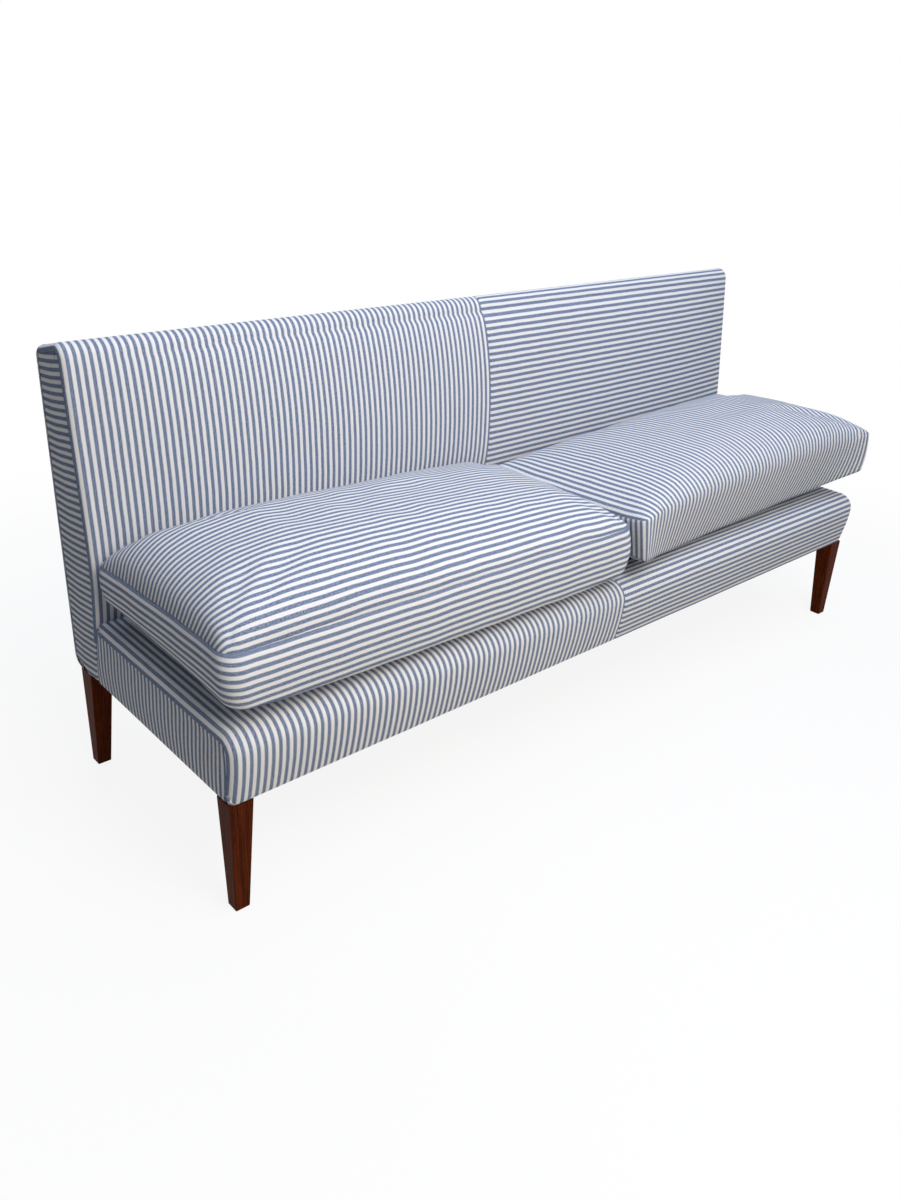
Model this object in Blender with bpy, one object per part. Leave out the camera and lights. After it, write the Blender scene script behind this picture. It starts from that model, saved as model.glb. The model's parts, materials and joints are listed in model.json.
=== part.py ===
"""Armless upholstered banquette in ticking stripe, with two loose seat cushions on a padded deck.

Units are metres and +Z is up. X runs along the bench and the front faces -Y. While it is being
made, Y = 0 is the front face of the deck at its lower edge; the parent empty then moves the whole
bench so that the origin is on the floor, under the middle of its box.
"""
import math

import bmesh
import bpy
from mathutils import Vector

# Overall sizes
LENGTH = 1.800
DEPTH = 0.558
GAP = 0.0003
COVER_THICKNESS = 0.002

# Legs and what holds them
LEG_HEIGHT = 0.2085
LEG_TOP_WIDTH = 0.042
LEG_FOOT_WIDTH = 0.026
LEG_ARRIS = 0.0015
GLIDE_HEIGHT = 0.004
GLIDE_PROUD = 0.0008
GLIDE_RADIUS = 0.008
PLATE_SIZE = 0.046
PLATE_THICKNESS = 0.0025
BOLT_RADIUS = 0.004
BOLT_IN_LEG = 0.040
BOLT_IN_FRAME = 0.025
ROUND_SIDES = 12

# Timber frame
RAIL_THICKNESS = 0.025
RAIL_HEIGHT = 0.075
CROSS_RAIL_HEIGHT = 0.055
POST_DEPTH = 0.045
TOP_RAIL_HEIGHT = 0.040
LOWER_RAIL_HEIGHT = 0.045
LOWER_RAIL_RISE = 0.050
BLOCK_SIDE = 0.070
BLOCK_HEIGHT = 0.055

# Padding between the timber and the covers
FRONT_PADDING = 0.010
END_PADDING = 0.003
TOP_PADDING = 0.012
REAR_PADDING = 0.0222

# Webbing, hessian and the sheet under the seat
WEB_WIDTH = 0.050
WEB_THICKNESS = 0.002
WEB_LAP = 0.018
SEAT_WEB_PITCH = 0.176
SEAT_LONG_WEBS = 3
BACK_WEB_PITCH = 0.220
BACK_LONG_WEBS = 2
HESSIAN_THICKNESS = 0.001
DUST_SHEET_THICKNESS = 0.001
DUST_SHEET_MARGIN = 0.004

# Deck, the fixed padded seat
DECK_HEIGHT = 0.128
DECK_BULGE = 0.014
BULLNOSE_RADIUS = 0.036
DECK_EDGE_RADIUS = 0.015

# Back, which is thickest just above the cushions
BACK_HEIGHT = 0.606
BACK_FOOT_THICKNESS = 0.090
BACK_SEAT_THICKNESS = 0.133
BACK_TOP_THICKNESS = 0.104
BACK_FULLEST_RISE = 0.222
BACK_KNEE_SOFTNESS = 0.040
BACK_CROWN = 0.010
BACK_CROWN_FULLNESS = 0.7
BACK_TOP_FALL = 0.008
BACK_EDGE_RADIUS = 0.012
BACK_TOP_RADIUS = 0.015
BACK_HEEL_RADIUS = 0.014

# Loose cushions; the right one is the plumper of the two
CUSHION_SPACING = 0.003
CUSHION_END_INSET = 0.005
CUSHION_OVERHANG = 0.022
CUSHION_BACK_CLEARANCE = 0.0065
BOXING_HEIGHT = 0.090
BOXING_BULGE = 0.005
LEFT_CROWN = 0.055
LEFT_UNDERCROWN = 0.046
RIGHT_CROWN = 0.070
RIGHT_UNDERCROWN = 0.066
DOME_FULLNESS = 0.55
UNDER_FLATNESS = 1.25
CUSHION_CORNER_RADIUS = 0.030
CORNER_REACH = 2.2
CUSHION_DRAW_IN = 0.006
CORE_GAP = 0.0006

# Zip in the rear boxing of each cushion
ZIP_LENGTH = 0.620
ZIP_WIDTH = 0.014
ZIP_TEETH_WIDTH = 0.004
ZIP_TEETH_HEIGHT = 0.0012
SLIDER_LENGTH = 0.012
SLIDER_WIDTH = 0.010
SLIDER_THICKNESS = 0.0026
PULL_LENGTH = 0.022
PULL_WIDTH = 0.006

# Places worked out from the sizes above
HALF = LENGTH / 2
HEM_Z = LEG_HEIGHT + GAP
DECK_TOP = HEM_Z + DECK_HEIGHT
BACK_TOP = HEM_Z + BACK_HEIGHT
FRAME_BOTTOM = LEG_HEIGHT + PLATE_THICKNESS + 2 * GAP
FRAME_TOP = FRAME_BOTTOM + RAIL_HEIGHT
WEB_Z = FRAME_TOP + GAP
HESSIAN_Z = WEB_Z + WEB_THICKNESS + GAP
FOAM_Z = HESSIAN_Z + HESSIAN_THICKNESS + GAP
FOAM_DEPTH = COVER_THICKNESS + GAP
FRAME_HALF = HALF - FOAM_DEPTH - GAP - END_PADDING
FRAME_FRONT = FOAM_DEPTH + GAP + FRONT_PADDING
FRAME_REAR = DEPTH - GAP - REAR_PADDING
RAIL_INSIDE = FRAME_HALF - RAIL_THICKNESS
FRONT_RAIL_REAR = FRAME_FRONT + RAIL_THICKNESS
REAR_RAIL_FRONT = FRAME_REAR - RAIL_THICKNESS
POST_FRONT = FRAME_REAR - POST_DEPTH
TOP_RAIL_TOP = BACK_TOP - FOAM_DEPTH - GAP - TOP_PADDING
TOP_RAIL_BOTTOM = TOP_RAIL_TOP - TOP_RAIL_HEIGHT
LOWER_RAIL_Z = FRAME_TOP + LOWER_RAIL_RISE
BACK_WEB_FRONT = POST_FRONT - GAP - WEB_THICKNESS
BACK_FOAM_REAR = BACK_WEB_FRONT - GAP
CUSHION_FRONT = -CUSHION_OVERHANG - BOXING_BULGE
CUSHION_REAR = DEPTH - BACK_SEAT_THICKNESS - BACK_CROWN - CUSHION_BACK_CLEARANCE
CUSHION_HALF_DEPTH = (CUSHION_REAR - CUSHION_FRONT) / 2
CUSHION_HALF_WIDTH = (HALF - CUSHION_END_INSET - CUSHION_SPACING / 2) / 2
CUSHION_X = CUSHION_SPACING / 2 + CUSHION_HALF_WIDTH
CUSHION_Y = (CUSHION_REAR + CUSHION_FRONT) / 2
CUSHION_Z = DECK_TOP + GAP
ZIP_U = ZIP_LENGTH / 2 / (CUSHION_HALF_WIDTH - BOXING_BULGE)

# How finely curves are cut, and where along the bench and across a cushion
EDGE_ANGLES = (22.5, 45.0, 67.5, 90.0)
ARC_STEPS = 4
BACK_STEPS = 7
DECK_SHARES = (0.0, 1.0)
BACK_SHARES = (0.0, 0.3, 0.55, 0.78, 0.92, 1.0)
CORNER_SHARES = (0.96, 0.91, 0.84)
DEPTH_SHARES = (0.62, 0.32)
STEEPEST_MITRE = 0.5
SHARP_ANGLE = 35.0

# Points of the back's outline where its front cover starts and where the outside back takes over
BACK_START = 1
BACK_SEAM = BACK_START + BACK_STEPS + 1 + 2 * (ARC_STEPS + 1)


def back_front(height):
    """Y of the back's front face at a height: two straight slopes with a soft knee between them."""
    knee_z = HEM_Z + BACK_FULLEST_RISE
    knee_y = DEPTH - BACK_SEAT_THICKNESS
    below = (BACK_SEAT_THICKNESS - BACK_FOOT_THICKNESS) / -BACK_FULLEST_RISE
    above = (BACK_SEAT_THICKNESS - BACK_TOP_THICKNESS) / (BACK_TOP - knee_z)
    rise = height - knee_z
    bend = math.hypot(rise, BACK_KNEE_SOFTNESS) - BACK_KNEE_SOFTNESS
    return knee_y + (above + below) / 2 * rise + (above - below) / 2 * bend


def arc(centre, radius, start, end, steps):
    """Points of a circular arc in the YZ plane, angles in degrees from +Y towards +Z."""
    points = []
    for step in range(steps + 1):
        angle = math.radians(start + (end - start) * step / steps)
        points.append((centre[0] + radius * math.cos(angle), centre[1] + radius * math.sin(angle)))
    return points


def inset(outline, depth):
    """An outline in the YZ plane moved inwards by depth, square to itself."""
    moved = []
    last = len(outline) - 1
    for index, point in enumerate(outline):
        before = Vector(outline[max(index - 1, 0)])
        after = Vector(outline[min(index + 1, last)])
        here = Vector(point)
        towards = (here - before).normalized() if index else (after - here).normalized()
        onwards = (after - here).normalized() if index < last else towards
        tangent = (towards + onwards).normalized()
        inward = Vector((tangent.y, -tangent.x))
        stretch = 1 / max(tangent.dot(towards), STEEPEST_MITRE)
        moved.append(tuple(here + inward * depth * stretch))
    return moved


def deck_outline(depth):
    """Front, bullnose and top of the deck in the YZ plane, from the hem up and back to the back's face."""
    straight = DECK_HEIGHT - BULLNOSE_RADIUS
    points = []
    for step in range(ARC_STEPS):
        share = step / ARC_STEPS
        bulge = DECK_BULGE * math.sin(share * math.pi / 2)
        points.append((-bulge, HEM_Z + straight * share))
    centre = (BULLNOSE_RADIUS - DECK_BULGE, DECK_TOP - BULLNOSE_RADIUS)
    points += arc(centre, BULLNOSE_RADIUS, 180, 90, ARC_STEPS + 1)
    points.append((back_front(DECK_TOP) - GAP, DECK_TOP))
    moved = inset(points, depth)
    moved[0] = (moved[0][0], HEM_Z)
    moved[-1] = (back_front(moved[-1][1]) - GAP, moved[-1][1])
    return moved


def deck_rear():
    """Points down the rear of the deck, just clear of the back's face."""
    return [(back_front(height) - GAP, height) for height in (FOAM_Z, HEM_Z)]


def back_heights():
    """Heights of the points up the front of the back, below its rounded top edge."""
    heights = [HEM_Z, FOAM_Z, DECK_TOP]
    top = BACK_TOP - BACK_TOP_RADIUS
    for step in range(1, BACK_STEPS):
        heights.append(DECK_TOP + (top - DECK_TOP) * step / BACK_STEPS)
    return heights


def back_outline(depth, crown):
    """Front, top and rear of the back in the YZ plane, from the hem in front round to the hem behind."""
    points = []
    top = BACK_TOP - BACK_TOP_RADIUS
    for height in back_heights():
        share = max(height - DECK_TOP, 0) / (top - DECK_TOP)
        swell = BACK_CROWN * crown * math.sin(share * math.pi) ** BACK_CROWN_FULLNESS
        points.append((back_front(height) - swell, height))
    front_centre = (back_front(top) + BACK_TOP_RADIUS, top)
    points += arc(front_centre, BACK_TOP_RADIUS, 180, 90, ARC_STEPS)
    rear_top = top - BACK_TOP_FALL
    points += arc((DEPTH - BACK_TOP_RADIUS, rear_top), BACK_TOP_RADIUS, 90, 0, ARC_STEPS)
    points.append((DEPTH, rear_top - GAP))
    heel = (DEPTH - BACK_HEEL_RADIUS, HEM_Z + BACK_HEEL_RADIUS)
    points += arc(heel, BACK_HEEL_RADIUS, 0, -90, ARC_STEPS)
    points.append((FRAME_REAR + 2 * GAP, HEM_Z))
    moved = inset(points, depth)
    moved[0] = (moved[0][0], HEM_Z)
    moved[BACK_START] = (moved[BACK_START][0], FOAM_Z)
    moved[BACK_SEAM - 1] = (moved[BACK_SEAM - 1][0], rear_top)
    moved[BACK_SEAM] = (moved[BACK_SEAM][0], rear_top - GAP)
    return moved


def sections(radius, shares):
    """Stations along +X, each an X, the roll-over angle there and the share of the crown."""
    straight = HALF - radius
    stations = []
    for share in shares:
        stations.append((max(straight * share, GAP / 2), 0.0, 1 - share ** 4))
    for angle in EDGE_ANGLES:
        stations.append((straight, math.radians(angle), 0.0))
    return stations


def deck_ring(station, depth):
    """Points of the deck's surface at one station, set in by depth and rolled over at the end."""
    x, angle, _ = station
    radius = DECK_EDGE_RADIUS
    reach = radius - depth
    outline = deck_outline(radius - reach * math.cos(angle))
    return [Vector((x + reach * math.sin(angle), y, z)) for y, z in outline]


def back_ring(station, depth):
    """Points of the back's surface at one station, set in by depth and rolled over at the end."""
    x, angle, crown = station
    radius = BACK_EDGE_RADIUS
    reach = radius - depth
    outline = back_outline(radius - reach * math.cos(angle), crown)
    return [Vector((x + reach * math.sin(angle), y, z)) for y, z in outline]


def mirrored(rings):
    """The same rings on the other side of the bench, in order along +X."""
    return [[Vector((-p.x, p.y, p.z)) for p in ring] for ring in reversed(rings)]


def remove_everything():
    for old in list(bpy.data.objects):
        bpy.data.objects.remove(old, do_unlink=True)


def material(name, colour, roughness, metallic=0.0):
    made = bpy.data.materials.new(name)
    made.use_nodes = True
    shader = made.node_tree.nodes["Principled BSDF"]
    shader.inputs["Base Color"].default_value = (*colour, 1.0)
    shader.inputs["Roughness"].default_value = roughness
    shader.inputs["Metallic"].default_value = metallic
    return made


def add(name, shape, finish, origin=(0, 0, 0)):
    """A named object from a bmesh, with its origin where asked and its faces pointing out."""
    bmesh.ops.recalc_face_normals(shape, faces=shape.faces)
    bmesh.ops.translate(shape, verts=shape.verts, vec=-Vector(origin))
    mesh = bpy.data.meshes.new(name)
    shape.to_mesh(mesh)
    shape.free()
    mesh.materials.append(finish)
    mesh.shade_smooth()
    mesh.set_sharp_from_angle(angle=math.radians(SHARP_ANGLE))
    made = bpy.data.objects.new(name, mesh)
    bpy.context.scene.collection.objects.link(made)
    made.parent = bench
    made.location = Vector(origin)
    return made


def block(name, low, high, finish):
    """A squared piece between two corners."""
    shape = bmesh.new()
    bmesh.ops.create_cube(shape, size=1)
    size = Vector(high) - Vector(low)
    bmesh.ops.scale(shape, verts=shape.verts, vec=size)
    bmesh.ops.translate(shape, verts=shape.verts, vec=Vector(low) + size / 2)
    return add(name, shape, finish)


def prism(name, outline, direction, finish, **place):
    """A flat outline of 3-D points pushed out along a direction."""
    shape = bmesh.new()
    face = shape.faces.new([shape.verts.new(point) for point in outline])
    pushed = bmesh.ops.extrude_face_region(shape, geom=[face])
    moved = [part for part in pushed["geom"] if isinstance(part, bmesh.types.BMVert)]
    bmesh.ops.translate(shape, verts=moved, vec=Vector(direction))
    return add(name, shape, finish, **place)


def cylinder(name, centre, radius, bottom, top, finish):
    shape = bmesh.new()
    bmesh.ops.create_cone(shape, cap_ends=True, segments=ROUND_SIDES, radius1=radius, radius2=radius,
                          depth=top - bottom)
    bmesh.ops.translate(shape, verts=shape.verts, vec=(*centre, (top + bottom) / 2))
    return add(name, shape, finish)


def bore(cutter, *pieces):
    """Cuts the same hole in every piece it passes through, and hides the cutter."""
    cutter.hide_render = True
    cutter.display_type = "WIRE"
    for piece in pieces:
        cut = piece.modifiers.new("bore", "BOOLEAN")
        cut.operation = "DIFFERENCE"
        cut.solver = "EXACT"
        cut.object = cutter


def shell(name, outer, inner, finish):
    """A sheet of cover between two grids of points, closed round its edges."""
    shape = bmesh.new()
    layers = []
    for rings in (outer, inner):
        layers.append([[shape.verts.new(point) for point in ring] for ring in rings])
    rows = len(outer)
    columns = len(outer[0])
    for layer in layers:
        for row in range(rows - 1):
            for column in range(columns - 1):
                near = layer[row][column:column + 2]
                far = layer[row + 1][column:column + 2]
                shape.faces.new([near[0], near[1], far[1]])
                shape.faces.new([near[0], far[1], far[0]])
    border = [(0, column) for column in range(columns)]
    border += [(row, columns - 1) for row in range(1, rows)]
    border += [(rows - 1, column) for column in range(columns - 2, -1, -1)]
    border += [(row, 0) for row in range(rows - 2, 0, -1)]
    for here, there in zip(border, border[1:] + border[:1]):
        corners = [layers[0][here[0]][here[1]], layers[0][there[0]][there[1]],
                   layers[1][there[0]][there[1]], layers[1][here[0]][here[1]]]
        shape.faces.new(corners)
    return add(name, shape, finish)


def filled(rings):
    """A closed solid through closed rings of points, capped at both ends."""
    shape = bmesh.new()
    loops = [[shape.verts.new(point) for point in ring] for ring in rings]
    count = len(loops[0])
    for near, far in zip(loops, loops[1:]):
        for index in range(count):
            following = (index + 1) % count
            shape.faces.new([near[index], near[following], far[following]])
            shape.faces.new([near[index], far[following], far[index]])
    shape.faces.new(loops[0])
    shape.faces.new(loops[-1])
    bmesh.ops.recalc_face_normals(shape, faces=shape.faces)
    return shape


def keep_side(shape, point, outward):
    """Cuts a solid by a plane, drops what lies on the outward side and closes the cut."""
    parts = list(shape.verts) + list(shape.edges) + list(shape.faces)
    bmesh.ops.bisect_plane(shape, geom=parts, plane_co=point, plane_no=outward, clear_outer=True)
    rim = [edge for edge in shape.edges if edge.is_boundary]
    bmesh.ops.holes_fill(shape, edges=rim, sides=0)
    return shape


def net(name, straps, place, thickness, finish):
    """Flat webbing in one layer: straps are boxes in two directions (low a, low b, high a, high b)."""
    cuts = [sorted({round(strap[side + half], 6) for strap in straps for half in (0, 2)}) for side in (0, 1)]
    shape = bmesh.new()
    verts = {}

    def corner(key):
        if key not in verts:
            verts[key] = shape.verts.new(place(*key))
        return verts[key]

    for low_a, high_a in zip(cuts[0], cuts[0][1:]):
        for low_b, high_b in zip(cuts[1], cuts[1][1:]):
            middle = ((low_a + high_a) / 2, (low_b + high_b) / 2)
            if any(s[0] < middle[0] < s[2] and s[1] < middle[1] < s[3] for s in straps):
                ring = [(low_a, low_b), (high_a, low_b), (high_a, high_b), (low_a, high_b)]
                shape.faces.new([corner(key) for key in ring])
    pushed = bmesh.ops.extrude_face_region(shape, geom=list(shape.faces))
    moved = [part for part in pushed["geom"] if isinstance(part, bmesh.types.BMVert)]
    bmesh.ops.translate(shape, verts=moved, vec=Vector(thickness))
    return add(name, shape, finish)


def spread(low, high, pitch):
    """Evenly spaced places between two limits, about a pitch apart and the same each side of the middle."""
    count = max(int(round((high - low) / pitch)), 1)
    return [low + (high - low) * (step + 0.5) / count for step in range(count)]


def make_leg(name, side, back_leg):
    """A square leg whose two outer faces are upright and whose inner faces taper to the foot."""
    outer_y = FRAME_REAR if back_leg else 0.0
    inward = -1 if back_leg else 1
    shape = bmesh.new()
    ends = []
    for width, height in ((LEG_FOOT_WIDTH, GLIDE_PROUD), (LEG_TOP_WIDTH, LEG_HEIGHT)):
        corners = []
        for across, along in ((0, 0), (width, 0), (width, width), (0, width)):
            corners.append(shape.verts.new((side * (HALF - across), outer_y + inward * along, height)))
        ends.append(corners)
    for corners in ends:
        shape.faces.new(corners)
    for index in range(4):
        following = (index + 1) % 4
        shape.faces.new([ends[0][index], ends[0][following], ends[1][following], ends[1][index]])
    bmesh.ops.recalc_face_normals(shape, faces=shape.faces)
    eased = [edge for edge in shape.edges if not all(vert in ends[1] for vert in edge.verts)]
    bmesh.ops.bevel(shape, geom=eased, offset=LEG_ARRIS, segments=1, profile=0.5, affect="EDGES",
                    material=-1)
    return add(name, shape, wood)


def leg_axis(side, back_leg):
    """Where the hanger bolt stands: the middle of the leg's top."""
    half = LEG_TOP_WIDTH / 2
    return side * (HALF - half), FRAME_REAR - half if back_leg else half


def make_leg_set(place, side, back_leg, carrier):
    """A leg with its glide, plate and hanger bolt; the bolt runs up into the carrier."""
    leg = make_leg(f"leg_{place}", side, back_leg)
    foot = LEG_FOOT_WIDTH / 2
    foot_y = FRAME_REAR - foot if back_leg else foot
    foot_axis = (side * (HALF - foot), foot_y)
    cylinder(f"glide_{place}", foot_axis, GLIDE_RADIUS, 0, GLIDE_HEIGHT, nylon)
    recess = cylinder(f"glide_recess_{place}", foot_axis, GLIDE_RADIUS + GAP, -GLIDE_HEIGHT,
                      GLIDE_HEIGHT + GAP, nylon)
    bore(recess, leg)
    corner_x = side * FRAME_HALF
    corner_y = FRAME_REAR if back_leg else FRAME_FRONT
    inner_x = corner_x - side * PLATE_SIZE
    inner_y = corner_y - PLATE_SIZE if back_leg else corner_y + PLATE_SIZE
    bottom = LEG_HEIGHT + GAP
    low = (min(corner_x, inner_x), min(corner_y, inner_y), bottom)
    high = (max(corner_x, inner_x), max(corner_y, inner_y), bottom + PLATE_THICKNESS)
    plate = block(f"leg_plate_{place}", low, high, steel)
    axis = leg_axis(side, back_leg)
    low_end = LEG_HEIGHT - BOLT_IN_LEG
    high_end = FRAME_BOTTOM + BOLT_IN_FRAME
    cylinder(f"hanger_bolt_{place}", axis, BOLT_RADIUS, low_end, high_end, steel)
    cutter = cylinder(f"bolt_hole_{place}", axis, BOLT_RADIUS + GAP, low_end - GAP, high_end + GAP, steel)
    bore(cutter, leg, plate, carrier)


def make_corner_block(place, side, back_corner):
    """A three-sided block glued into an inner corner of the seat frame."""
    x = side * (RAIL_INSIDE - GAP)
    y = REAR_RAIL_FRONT - GAP if back_corner else FRONT_RAIL_REAR + GAP
    along = -BLOCK_SIDE if back_corner else BLOCK_SIDE
    outline = [(x, y, FRAME_BOTTOM), (x - side * BLOCK_SIDE, y, FRAME_BOTTOM), (x, y + along, FRAME_BOTTOM)]
    prism(f"corner_block_{place}", outline, (0, 0, BLOCK_HEIGHT), timber)


def make_frame():
    """Seat frame and back frame in timber, with the four leg sets under them."""
    front = block("front_rail", (-FRAME_HALF, FRAME_FRONT, FRAME_BOTTOM),
                  (FRAME_HALF, FRONT_RAIL_REAR, FRAME_TOP), timber)
    inside = RAIL_INSIDE - GAP
    block("rear_rail", (-inside, REAR_RAIL_FRONT, FRAME_BOTTOM), (inside, FRAME_REAR, FRAME_TOP), timber)
    half_rail = RAIL_THICKNESS / 2
    block("centre_cross_rail", (-half_rail, FRONT_RAIL_REAR + GAP, FRAME_BOTTOM),
          (half_rail, REAR_RAIL_FRONT - GAP, FRAME_BOTTOM + CROSS_RAIL_HEIGHT), timber)
    block("back_post_centre", (-half_rail, POST_FRONT, FRAME_TOP + GAP),
          (half_rail, FRAME_REAR, TOP_RAIL_BOTTOM - GAP), timber)
    block("back_top_rail", (-inside, POST_FRONT, TOP_RAIL_BOTTOM),
          (inside, FRAME_REAR, TOP_RAIL_TOP), timber)
    for side, hand in ((-1, "left"), (1, "right")):
        walls = sorted((side * RAIL_INSIDE, side * FRAME_HALF))
        block(f"end_rail_{hand}", (walls[0], FRONT_RAIL_REAR + GAP, FRAME_BOTTOM),
              (walls[1], POST_FRONT - GAP, FRAME_TOP), timber)
        post = block(f"back_post_{hand}", (walls[0], POST_FRONT, FRAME_BOTTOM),
                     (walls[1], FRAME_REAR, TOP_RAIL_TOP), timber)
        span = sorted((side * (half_rail + GAP), side * inside))
        block(f"back_lower_rail_{hand}", (span[0], POST_FRONT, LOWER_RAIL_Z),
              (span[1], POST_FRONT + RAIL_THICKNESS, LOWER_RAIL_Z + LOWER_RAIL_HEIGHT), timber)
        make_leg_set(f"front_{hand}", side, False, front)
        make_leg_set(f"rear_{hand}", side, True, post)
        make_corner_block(f"front_{hand}", side, False)
        make_corner_block(f"rear_{hand}", side, True)


def make_suspension():
    """Woven webbing of the seat and the back, the hessian over the seat and the sheet under it."""
    half_web = WEB_WIDTH / 2
    clear = RAIL_THICKNESS / 2 + GAP
    seat = []
    for x in spread(clear, RAIL_INSIDE - GAP, SEAT_WEB_PITCH):
        for centre in (-x, x):
            seat.append((centre - half_web, FRONT_RAIL_REAR - WEB_LAP, centre + half_web,
                         REAR_RAIL_FRONT + WEB_LAP))
    reach = RAIL_INSIDE + WEB_LAP
    pitch = (POST_FRONT - FRONT_RAIL_REAR) / SEAT_LONG_WEBS
    for y in spread(FRONT_RAIL_REAR, POST_FRONT, pitch):
        seat.append((-reach, y - half_web, reach, y + half_web))
    net("seat_webbing", seat, lambda x, y: (x, y, WEB_Z), (0, 0, WEB_THICKNESS), webbing)
    block("seat_hessian", (-FRAME_HALF, FRAME_FRONT, HESSIAN_Z),
          (FRAME_HALF, POST_FRONT - GAP, HESSIAN_Z + HESSIAN_THICKNESS), hessian)
    back = []
    lower = LOWER_RAIL_Z + LOWER_RAIL_HEIGHT
    for x in spread(clear, RAIL_INSIDE, BACK_WEB_PITCH):
        for centre in (-x, x):
            back.append((centre - half_web, lower - WEB_LAP, centre + half_web, TOP_RAIL_BOTTOM + WEB_LAP))
    for z in spread(lower, TOP_RAIL_BOTTOM, (TOP_RAIL_BOTTOM - lower) / BACK_LONG_WEBS):
        back.append((-reach, z - half_web, reach, z + half_web))
    net("back_webbing", back, lambda x, z: (x, BACK_WEB_FRONT, z), (0, WEB_THICKNESS, 0), webbing)
    make_dust_sheet()


def make_dust_sheet():
    """Thin dark sheet tacked under the seat frame, cut away round the leg plates."""
    x = FRAME_HALF - DUST_SHEET_MARGIN
    near = FRAME_FRONT + DUST_SHEET_MARGIN
    far = FRAME_REAR - DUST_SHEET_MARGIN
    notch_x = FRAME_HALF - max(PLATE_SIZE, LEG_TOP_WIDTH) - GAP
    notch_near = FRAME_FRONT + max(PLATE_SIZE, LEG_TOP_WIDTH) + GAP
    notch_far = FRAME_REAR - max(PLATE_SIZE, LEG_TOP_WIDTH) - GAP
    right = [(notch_x, near), (notch_x, notch_near), (x, notch_near)]
    right += [(x, notch_far), (notch_x, notch_far), (notch_x, far)]
    outline = right + [(-px, py) for px, py in reversed(right)]
    z = FRAME_BOTTOM - GAP - DUST_SHEET_THICKNESS
    prism("dust_sheet", [(px, py, z) for px, py in outline], (0, 0, DUST_SHEET_THICKNESS), black_cloth)


def make_deck():
    """Foam of the seat, the wadding down its front and the four panels of its cover."""
    stations = sections(DECK_EDGE_RADIUS, DECK_SHARES)
    rings = []
    for station in stations[1:]:
        ring = deck_ring(station, FOAM_DEPTH)
        ring += [Vector((ring[0].x, y, z)) for y, z in deck_rear()]
        rings.append(ring)
    whole = mirrored(rings) + rings
    foam_bed = keep_side(filled(whole), (0, 0, FOAM_Z), (0, 0, -1))
    add("seat_foam", foam_bed, foam)
    border = keep_side(filled(whole), (0, 0, FOAM_Z - GAP), (0, 0, 1))
    add("front_border_wadding", keep_side(border, (0, FRAME_FRONT - GAP, 0), (0, 1, 0)), wadding)
    outer = [deck_ring(station, 0) for station in stations]
    inner = [deck_ring(station, COVER_THICKNESS) for station in stations]
    shell("deck_cover_right", outer, inner, fabric_lengthwise)
    shell("deck_cover_left", mirrored(outer), mirrored(inner), fabric_upright)
    make_end_panels("deck_end_cover", deck_outline(DECK_EDGE_RADIUS + GAP) + deck_rear())


def make_end_panels(name, outline):
    """The flat panel at each end of the bench."""
    for side, hand in ((-1, "left"), (1, "right")):
        points = [(side * HALF, y, z) for y, z in outline]
        prism(f"{name}_{hand}", points, (-side * COVER_THICKNESS, 0, 0), fabric_upright)


def make_back():
    """Foam and wadding of the back and the five panels of its cover."""
    stations = sections(BACK_EDGE_RADIUS, BACK_SHARES)
    rings = [back_ring(station, FOAM_DEPTH) for station in stations]
    whole = mirrored(rings[1:]) + rings
    front = keep_side(filled(whole), (0, BACK_FOAM_REAR, 0), (0, 1, 0))
    add("back_foam", keep_side(front, (0, 0, FOAM_Z), (0, 0, -1)), foam)
    top = keep_side(filled(whole), (0, 0, TOP_RAIL_TOP + GAP), (0, 0, -1))
    top = keep_side(top, (0, BACK_FOAM_REAR + GAP, 0), (0, -1, 0))
    add("back_top_wadding", keep_side(top, (0, FRAME_REAR, 0), (0, 1, 0)), wadding)
    rear = keep_side(filled(whole), (0, FRAME_REAR + GAP, 0), (0, -1, 0))
    add("outside_back_wadding", rear, wadding)
    outer = [back_ring(station, 0) for station in stations]
    inner = [back_ring(station, COVER_THICKNESS) for station in stations]
    front_outer = [ring[BACK_START:BACK_SEAM] for ring in outer]
    front_inner = [ring[BACK_START:BACK_SEAM] for ring in inner]
    shell("back_cover_right", front_outer, front_inner, fabric_lengthwise)
    shell("back_cover_left", mirrored(front_outer), mirrored(front_inner), fabric_upright)
    flat = len(BACK_SHARES) - 1
    rear_outer = [ring[BACK_SEAM:] for ring in outer[flat:]]
    rear_inner = [ring[BACK_SEAM:] for ring in inner[flat:]]
    shell("outside_back_cover", mirrored(rear_outer) + rear_outer, mirrored(rear_inner) + rear_inner,
          fabric_upright)
    edge = back_outline(BACK_EDGE_RADIUS + GAP, 0)[BACK_START:]
    step = edge[0][1] - GAP
    foot = [(back_front(HEM_Z) + GAP, HEM_Z), (back_front(step) + GAP, step), (edge[0][0], step)]
    heel = [(FRAME_REAR + GAP, edge[-1][1]), (FRAME_REAR + GAP, HEM_Z)]
    make_end_panels("back_end_cover", foot + edge + heel)


def cushion_plan(u, v):
    """Plan of a cushion: u and v from -1 to 1, with rounded corners and sides drawn in between them."""
    def near_corner(share, radius, half):
        start = 1 - CORNER_REACH * radius / half
        return max((abs(share) - start) / (1 - start), 0) ** 2

    pull = CUSHION_CORNER_RADIUS * (1 - math.sqrt(0.5))
    pull *= near_corner(u, CUSHION_CORNER_RADIUS, CUSHION_HALF_WIDTH)
    pull *= near_corner(v, CUSHION_CORNER_RADIUS, CUSHION_HALF_DEPTH)
    draw_x = CUSHION_DRAW_IN * (1 - v * v) * u * u
    draw_y = CUSHION_DRAW_IN * (1 - u * u) * v * v if v < 0 else 0
    x = u * (CUSHION_HALF_WIDTH - BOXING_BULGE - draw_x - pull)
    y = v * (CUSHION_HALF_DEPTH - BOXING_BULGE - draw_y - pull)
    return x, y


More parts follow.
